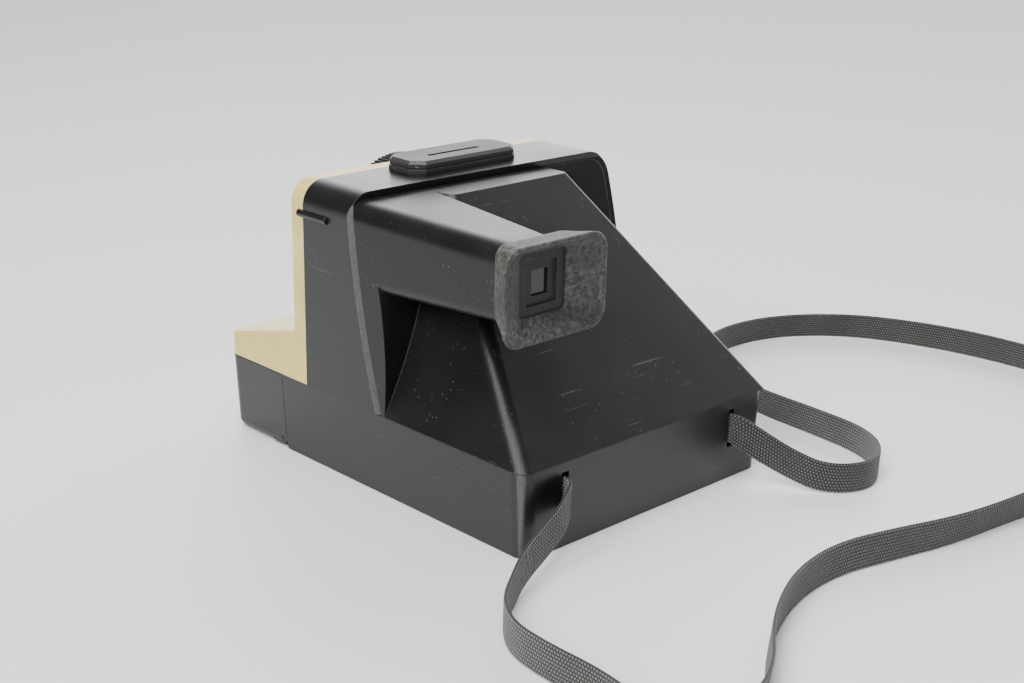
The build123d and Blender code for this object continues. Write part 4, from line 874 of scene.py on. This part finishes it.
@dataclass
class Studio:
    """Pale floor, soft light and the camera."""

    azimuth: float = 135.81
    elevation: float = 18.63
    roll: float = 1.14
    position: Colour = (0.34675, 0.36661, 0.20709)
    focal: float = 55.67
    floor_half: float = 6.0
    floor_drop: float = 0.0002
    sky_turn: float = 0.3
    sky_drop: float = -0.10
    sky_ramp: tuple[float, float, float, float] = (0.45, 0.85, 0.14, 4.6)

    def eye(self) -> None:
        """Create the camera at its viewing angle."""
        turn, rise, tilt = (math.radians(v) for v in (self.azimuth, self.elevation, self.roll))
        back = Vector((math.sin(turn) * math.cos(rise), -math.cos(turn) * math.cos(rise), math.sin(rise)))
        right = (-back).cross(Vector((0, 0, 1))).normalized()
        up = right.cross(-back)
        tilted_right = right * math.cos(tilt) + up * math.sin(tilt)
        tilted_up = up * math.cos(tilt) - right * math.sin(tilt)
        lens = bpy.data.cameras.new("eye")
        lens.sensor_width = 36.0
        lens.lens = self.focal
        lens.clip_start = 0.01
        holder = bpy.data.objects.new("eye", lens)
        pose = Matrix((tilted_right, tilted_up, back)).transposed().to_4x4()
        pose.translation = Vector(self.position)
        holder.matrix_world = pose
        bpy.context.scene.collection.objects.link(holder)
        bpy.context.scene.camera = holder

    def floor(self) -> bpy.types.Object:
        """Plain pale floor.

        Returns:
            The floor.
        """
        half = self.floor_half
        corners = np.array([(-half, -half, 0), (half, -half, 0), (half, half, 0), (-half, half, 0)])
        floor = mesh_object(corners - (0, 0, self.floor_drop), [[0, 1, 2, 3]], "floor", smooth=False)
        graph = Graph("table_top")
        floor.data.materials.append(graph.done(Base_Color=(0.78, 0.79, 0.79, 1.0), Roughness=0.5))
        return floor

    def lamp(self, name: str, place: Colour, aim: Colour, size: float, power: float) -> None:
        """Add one square soft light.

        Args:
            name: Name of the light.
            place: Where it hangs, in metres.
            aim: Point that it faces.
            size: Side of its square.
            power: Power in watts.
        """
        light = bpy.data.lights.new(name, "AREA")
        light.size = size
        light.energy = power
        holder = bpy.data.objects.new(name, light)
        holder.location = place
        holder.rotation_euler = (Vector(aim) - Vector(place)).to_track_quat("-Z", "Y").to_euler()
        bpy.context.scene.collection.objects.link(holder)

    def sky(self) -> None:
        """Soft surroundings: white beyond the object and darker behind the viewer."""
        world = bpy.data.worlds.new("surroundings")
        bpy.context.scene.world = world
        world.use_nodes = True
        tree = world.node_tree
        tree.nodes.clear()
        output = tree.nodes.new("ShaderNodeOutputWorld")
        glow = tree.nodes.new("ShaderNodeBackground")
        where = tree.nodes.new("ShaderNodeTexCoord")
        facing = tree.nodes.new("ShaderNodeVectorMath")
        facing.operation = "DOT_PRODUCT"
        turn = math.radians(self.azimuth) - self.sky_turn
        facing.inputs[1].default_value = (-math.sin(turn), math.cos(turn), self.sky_drop)
        ramp = tree.nodes.new("ShaderNodeMapRange")
        for index, number in enumerate(self.sky_ramp, start=1):
            ramp.inputs[index].default_value = number
        tree.links.new(where.outputs["Generated"], facing.inputs[0])
        tree.links.new(facing.outputs["Value"], ramp.inputs[0])
        tree.links.new(ramp.outputs[0], glow.inputs["Strength"])
        glow.inputs["Color"].default_value = (0.98, 0.99, 1.0, 1.0)
        tree.links.new(glow.outputs[0], output.inputs[0])

    def build(self) -> None:
        """Set up the camera, the floor, the lights and the surroundings."""
        self.eye()
        self.floor()
        self.sky()
        self.lamp("overhead", (0.22, 0.10, 1.15), (0.0, 0.0, 0.0), 0.62, 12.0)
        self.lamp("key", (1.25, 0.30, 1.15), (0.0, 0.0, 0.04), 1.1, 38.0)
        log.info("studio ready")


def main() -> None:
    """Build the camera's pieces in order, and the studio first."""
    logging.basicConfig(level=logging.INFO, format="%(message)s")
    studio = Studio()
    studio.build()
    wardrobe = Wardrobe()
    NeckStrap().build(wardrobe)
    Casework().dress(wardrobe)
    EyeCup().build(wardrobe)


if __name__ == "__main__":
    main()
